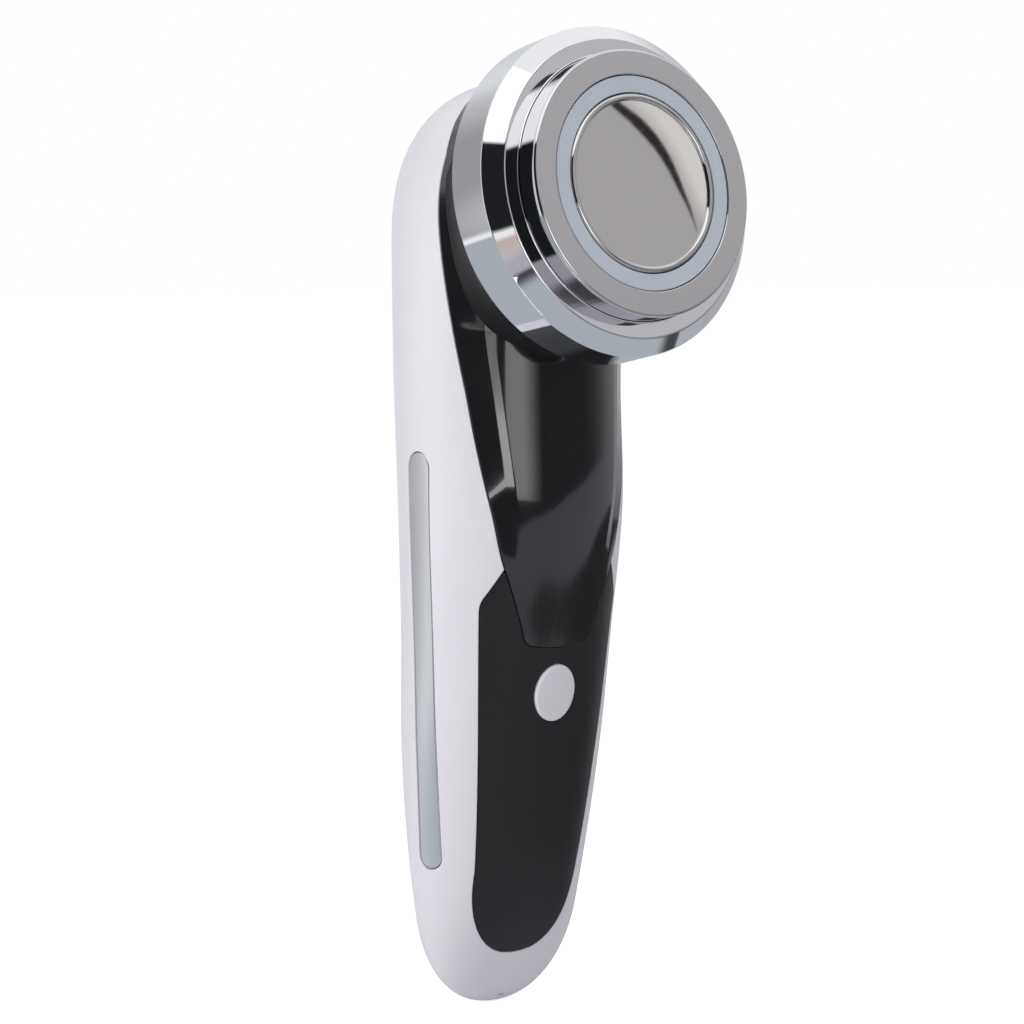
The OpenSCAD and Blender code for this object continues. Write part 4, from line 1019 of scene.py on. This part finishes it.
def card(name, radius, az, el, step, shade):
    """Curved studio card round the object, seen in reflections only; shade(az, el) is its glow."""
    cols = int((az[1] - az[0]) / step) + 1
    rows = int((el[1] - el[0]) / step) + 1
    verts, faces, glow = [], [], []
    for j in range(rows):
        for i in range(cols):
            a = az[0] + (az[1] - az[0]) * i / (cols - 1)
            e = el[0] + (el[1] - el[0]) * j / (rows - 1)
            verts.append(center + toward(a, e) * radius)
            glow += [*shade(a, e), 1.0]
            if i and j:
                k = j * cols + i
                faces.append((k - cols - 1, k - cols, k, k - 1))
    glow_card(name, verts, faces, glow)


def glow_card(name, verts, faces, glow):
    """Mesh that glows by its vertex colours, in reflections only."""
    mesh = bpy.data.meshes.new(name)
    mesh.from_pydata(verts, [], faces)
    mesh.color_attributes.new("glow", "FLOAT_COLOR", "POINT").data.foreach_set("color", glow)
    m = bpy.data.materials.new(name)
    m.use_nodes = True
    nt = m.node_tree
    nt.nodes.clear()
    out = add(nt, "ShaderNodeOutputMaterial")
    emit = add(nt, "ShaderNodeEmission")
    source = add(nt, "ShaderNodeAttribute", attribute_name="glow")
    nt.links.new(source.outputs["Color"], emit.inputs["Color"])
    nt.links.new(emit.outputs[0], out.inputs["Surface"])
    mesh.materials.append(m)
    o = place(name, mesh)
    o.visible_camera = o.visible_diffuse = o.visible_shadow = False
    o.visible_transmission = o.visible_volume_scatter = False


def fade(x, a, b):
    """0 at a and 1 at b, soft between."""
    return soft_step((x - a) / (b - a))


def mix(a, b, t):
    """Colour at share t of the way from a to b."""
    return tuple(p + (q - p) * t for p, q in zip(a, b))


# edges of the pale band low on the room's front wall: elevation by azimuth, in degrees
BAND_LO = ([-10, 42, 66, 77, 84, 96, 104, 118, 130], [-30, -30, -25.5, -24, -22, -17, -12, -6, -3])
BAND_HI = ([-10, -2, 8, 22, 40, 60, 78, 90, 100, 118, 130],
           [-16, -23, -23, -21, -17.5, -13.5, -5, -1, 1, 3, 3])
TABLE, BLACK_WALL, GREY_WALL = (0.46, 0.49, 0.53), (0.015, 0.016, 0.018), (0.37, 0.37, 0.385)


def surroundings(az, el):
    """Glow of the studio's walls and table: dark behind the camera, grey beside, pale behind and above."""
    wall = mix(GREY_WALL, (0.85, 0.86, 0.88), fade(az, -107, -101))
    wall = mix(wall, BLACK_WALL, fade(az, -74, -60))
    if az > 14:
        grey = mix((0.44, 0.44, 0.455), (0.60, 0.60, 0.62), fade(az, 128, 150))
        grey = mix(wall, grey, fade(az, 14, 22))
        low = mix((0.06, 0.06, 0.065), (0.45, 0.45, 0.47), fade(az, 84, 128))
        wall = mix(mix(wall, grey, fade(el, 2, 8)), mix(low, grey, fade(el, 2, 8)), fade(az, 46, 56))
    wall = mix(wall, (0.68, 0.70, 0.74), 1 - fade(az, -152, -134))
    if -60 < az < 50:
        wall = mix(wall, (1.4, 1.4, 1.42), fade(el, 35, 37))
    else:
        wall = mix(wall, (1.0, 1.0, 1.02), fade(el, 24, 48))
    dark = fade(az, 46, 50) * (1 - fade(az, 72, 75)) * fade(el, 33, 36) * (1 - fade(el, 44, 46))
    wall = mix(wall, (0.05, 0.05, 0.055), dark)
    if az < -20 or az > 128:
        edge = (1.0, 1.0, 1.0) if az < -80 else wall
        wall = mix(mix(TABLE, edge, fade(el, -15.8, -15)), wall, fade(el, -13.5, -12.7))
    else:
        lo, hi = curve(*BAND_LO, az), curve(*BAND_HI, az)
        dim = mix(TABLE, (0.07, 0.07, 0.075), fade(el, -38, -32))
        glow = mix(dim, (0.48, 0.46, 0.51), fade(el, lo - 0.5, lo + 0.5))
        low = mix(glow, wall, fade(el, hi - 0.6, hi + 0.6))
        side = mix(TABLE, (0.60, 0.55, 0.56), fade(el, -26, -24))
        side = mix(side, (0.62, 0.50, 0.45), fade(el, -17.5, -16.5))
        side = mix(side, (1.0, 1.0, 1.0), fade(el, -12.5, -11.5))
        side = mix(side, wall, fade(el, -8.6, -7.6))
        wall = mix(side, low, fade(az, -9.5, -8))
    return wall


card("studio_walls", 1.5, (-180, 180), (-90, 78), 1.0, surroundings)


# middle and half width of the dark bar in the dish's painted reflection, by height, in mm from the dish's
# middle
BAR = [-16, -6.7, -2.9, 5.3, 11, 15.9], [12.4, 11.2, 10.2, 6.5, 1.06, -7.1]
BAR_HALF = [-9, -5, 0, 5, 10, 14, 17], [0.0, 0.3, 0.65, 0.95, 1.15, 0.8, 0.3]


def painted_reflection_streak(x, lift):
    """Painted reflection that the electrode's dish shows, as the glow of a card: a dark bar slants between a
    grey and a paler warm side.
    """
    bar = curve(*BAR, lift)
    lean = (curve(*BAR, lift + 0.1) - bar) / 0.1
    off = (x - bar) / math.hypot(1, lean)
    half = curve(*BAR_HALF, lift)
    grey = (0.56, 0.545, 0.56)
    pale = mix((0.66, 0.64, 0.63), (0.95, 0.935, 0.915), fade(off, 0.4, 4.0))
    pale = mix((0.50, 0.49, 0.50), pale, fade(lift, -11, -3))
    glow = mix(grey, pale, fade(off, -0.3, 0.3) if lift > -7 else fade(off, -1.5, 1.5))
    if half > 0.02:
        glow = mix((0.035, 0.03, 0.035), glow, fade(abs(off), half - 0.15, half + 0.15))
    return glow


def mirror_card(name, cells, reach):
    """Card at the far end of the rays the camera sees mirrored in a surface, which paints a reflection onto
    that surface as
    seen from this camera: cells gives, by column and row, the place in mm, its normal and the card's glow
    there."""
    verts, faces, glow, index = [], [], [], {}
    for cell, (place, normal, shade) in cells.items():
        ray = (place * MM - eye).normalized()
        index[cell] = len(verts)
        verts.append(place * MM + (ray - 2 * ray.dot(normal) * normal) * reach)
        glow += [*shade, 1.0]
    for i, j in index:
        corners = [(i, j), (i + 1, j), (i + 1, j + 1), (i, j + 1)]
        if all(c in index for c in corners):
            faces.append([index[c] for c in corners])
    glow_card(name, verts, faces, glow)


def dish_cells(step=0.3):
    """The electrode's dish, cell by cell, with the painted reflection it shows."""
    cells = {}
    n = int(ELECTRODE_R / step)
    for j in range(-n, n + 1):
        for i in range(-n, n + 1):
            x, lift = i * step, j * step
            r = math.hypot(x, lift)
            if r < ELECTRODE_R - 2 * RIM + 0.3:
                radial = (Vector((x, 0, 0)) + HEAD_UP * lift) / max(r, 1e-6)
                z, a = bowl(r)
                normal = radial * math.cos(math.radians(a)) + HEAD_OUT * math.sin(math.radians(a))
                cells[i, j] = FACE + radial * r + HEAD_OUT * z, normal, painted_reflection_streak(x, lift)
    return cells


FACET_LO, FACET_HI = 101.4, 132.0
# glow of the painted highlight on the neck's facet, by height
FACET_PAINTED_HIGHLIGHT = [FACET_LO, 113.5, 116.5, 121, 126, FACET_HI], [4.4, 4.3, 3.3, 2.4, 1.9, 1.9]


def facet_cells(cols=6, rows=50):
    """The neck's facet on the camera's side, cell by cell, with a painted highlight on it, brightest below.
    """
    cells = {}
    for j in range(rows + 1):
        z = FACET_LO + (FACET_HI - FACET_LO) * j / rows
        c, k, _ = facet_marks(z)
        normal = neck.normal(-(c + k) / 2, z)
        normal = -normal if normal.y > 0 else normal
        g = curve(*FACET_PAINTED_HIGHLIGHT, z)
        for i in range(cols + 1):
            cells[i, j] = neck_at(-(c - 0.3 + (k - c + 0.4) * i / cols), z), normal, (g, g, g * 1.02)
    return cells


def softbox(az, el):
    """Glow of a lamp close by on the right, which fades to the right and is cut off below on the left."""
    front = fade(az, 17, 19)
    g = 1.9 * (1 - fade(az, 28, 54)) * (front + (1 - front) * fade(el, -4, -2))
    return (g, g, g * 1.02)


card("studio_softbox", 0.25, (10, 54), (-11, 14), 0.5, softbox)
# painted reflection in the electrode's dish: a card laid along the camera's mirrored rays
mirror_card("dish_painted_reflection", dish_cells(), 0.5)
# painted highlight on the neck's facet: a card laid along the camera's mirrored rays
mirror_card("painted_facet_highlight", facet_cells(), 0.04)

# plain pale floor: white to the camera, darker only in the object's shadow
FLOOR = 12.0  # half the floor's side, in metres
corners = [(-FLOOR, -FLOOR, 0), (FLOOR, -FLOOR, 0), (FLOOR, FLOOR, 0), (-FLOOR, FLOOR, 0)]
floor_mesh = bpy.data.meshes.new("floor")
floor_mesh.from_pydata(corners, [], [(0, 1, 2, 3)])
floor = place("floor", floor_mesh)
floor_mat = bpy.data.materials.new("floor_white")
floor_mat.use_nodes = True
nt = floor_mat.node_tree
nt.nodes.clear()
out = add(nt, "ShaderNodeOutputMaterial")
diffuse = add(nt, "ShaderNodeBsdfDiffuse")
diffuse.inputs["Color"].default_value = (0.85, 0.85, 0.86, 1)
lift = add(nt, "ShaderNodeEmission")
level = add(nt, "ShaderNodeMath", operation="MULTIPLY")
level.inputs[1].default_value = 0.72
nt.links.new(seen_rays(nt), level.inputs[0])
nt.links.new(level.outputs[0], lift.inputs["Strength"])
both = add(nt, "ShaderNodeAddShader")
nt.links.new(diffuse.outputs[0], both.inputs[0])
nt.links.new(lift.outputs[0], both.inputs[1])
nt.links.new(both.outputs[0], out.inputs["Surface"])
floor_mesh.materials.append(floor_mat)
floor.location.z = -0.0002
floor.visible_glossy = False

# ------------------------------------------------------------------ close

bpy.context.scene.view_settings.view_transform = "Standard"
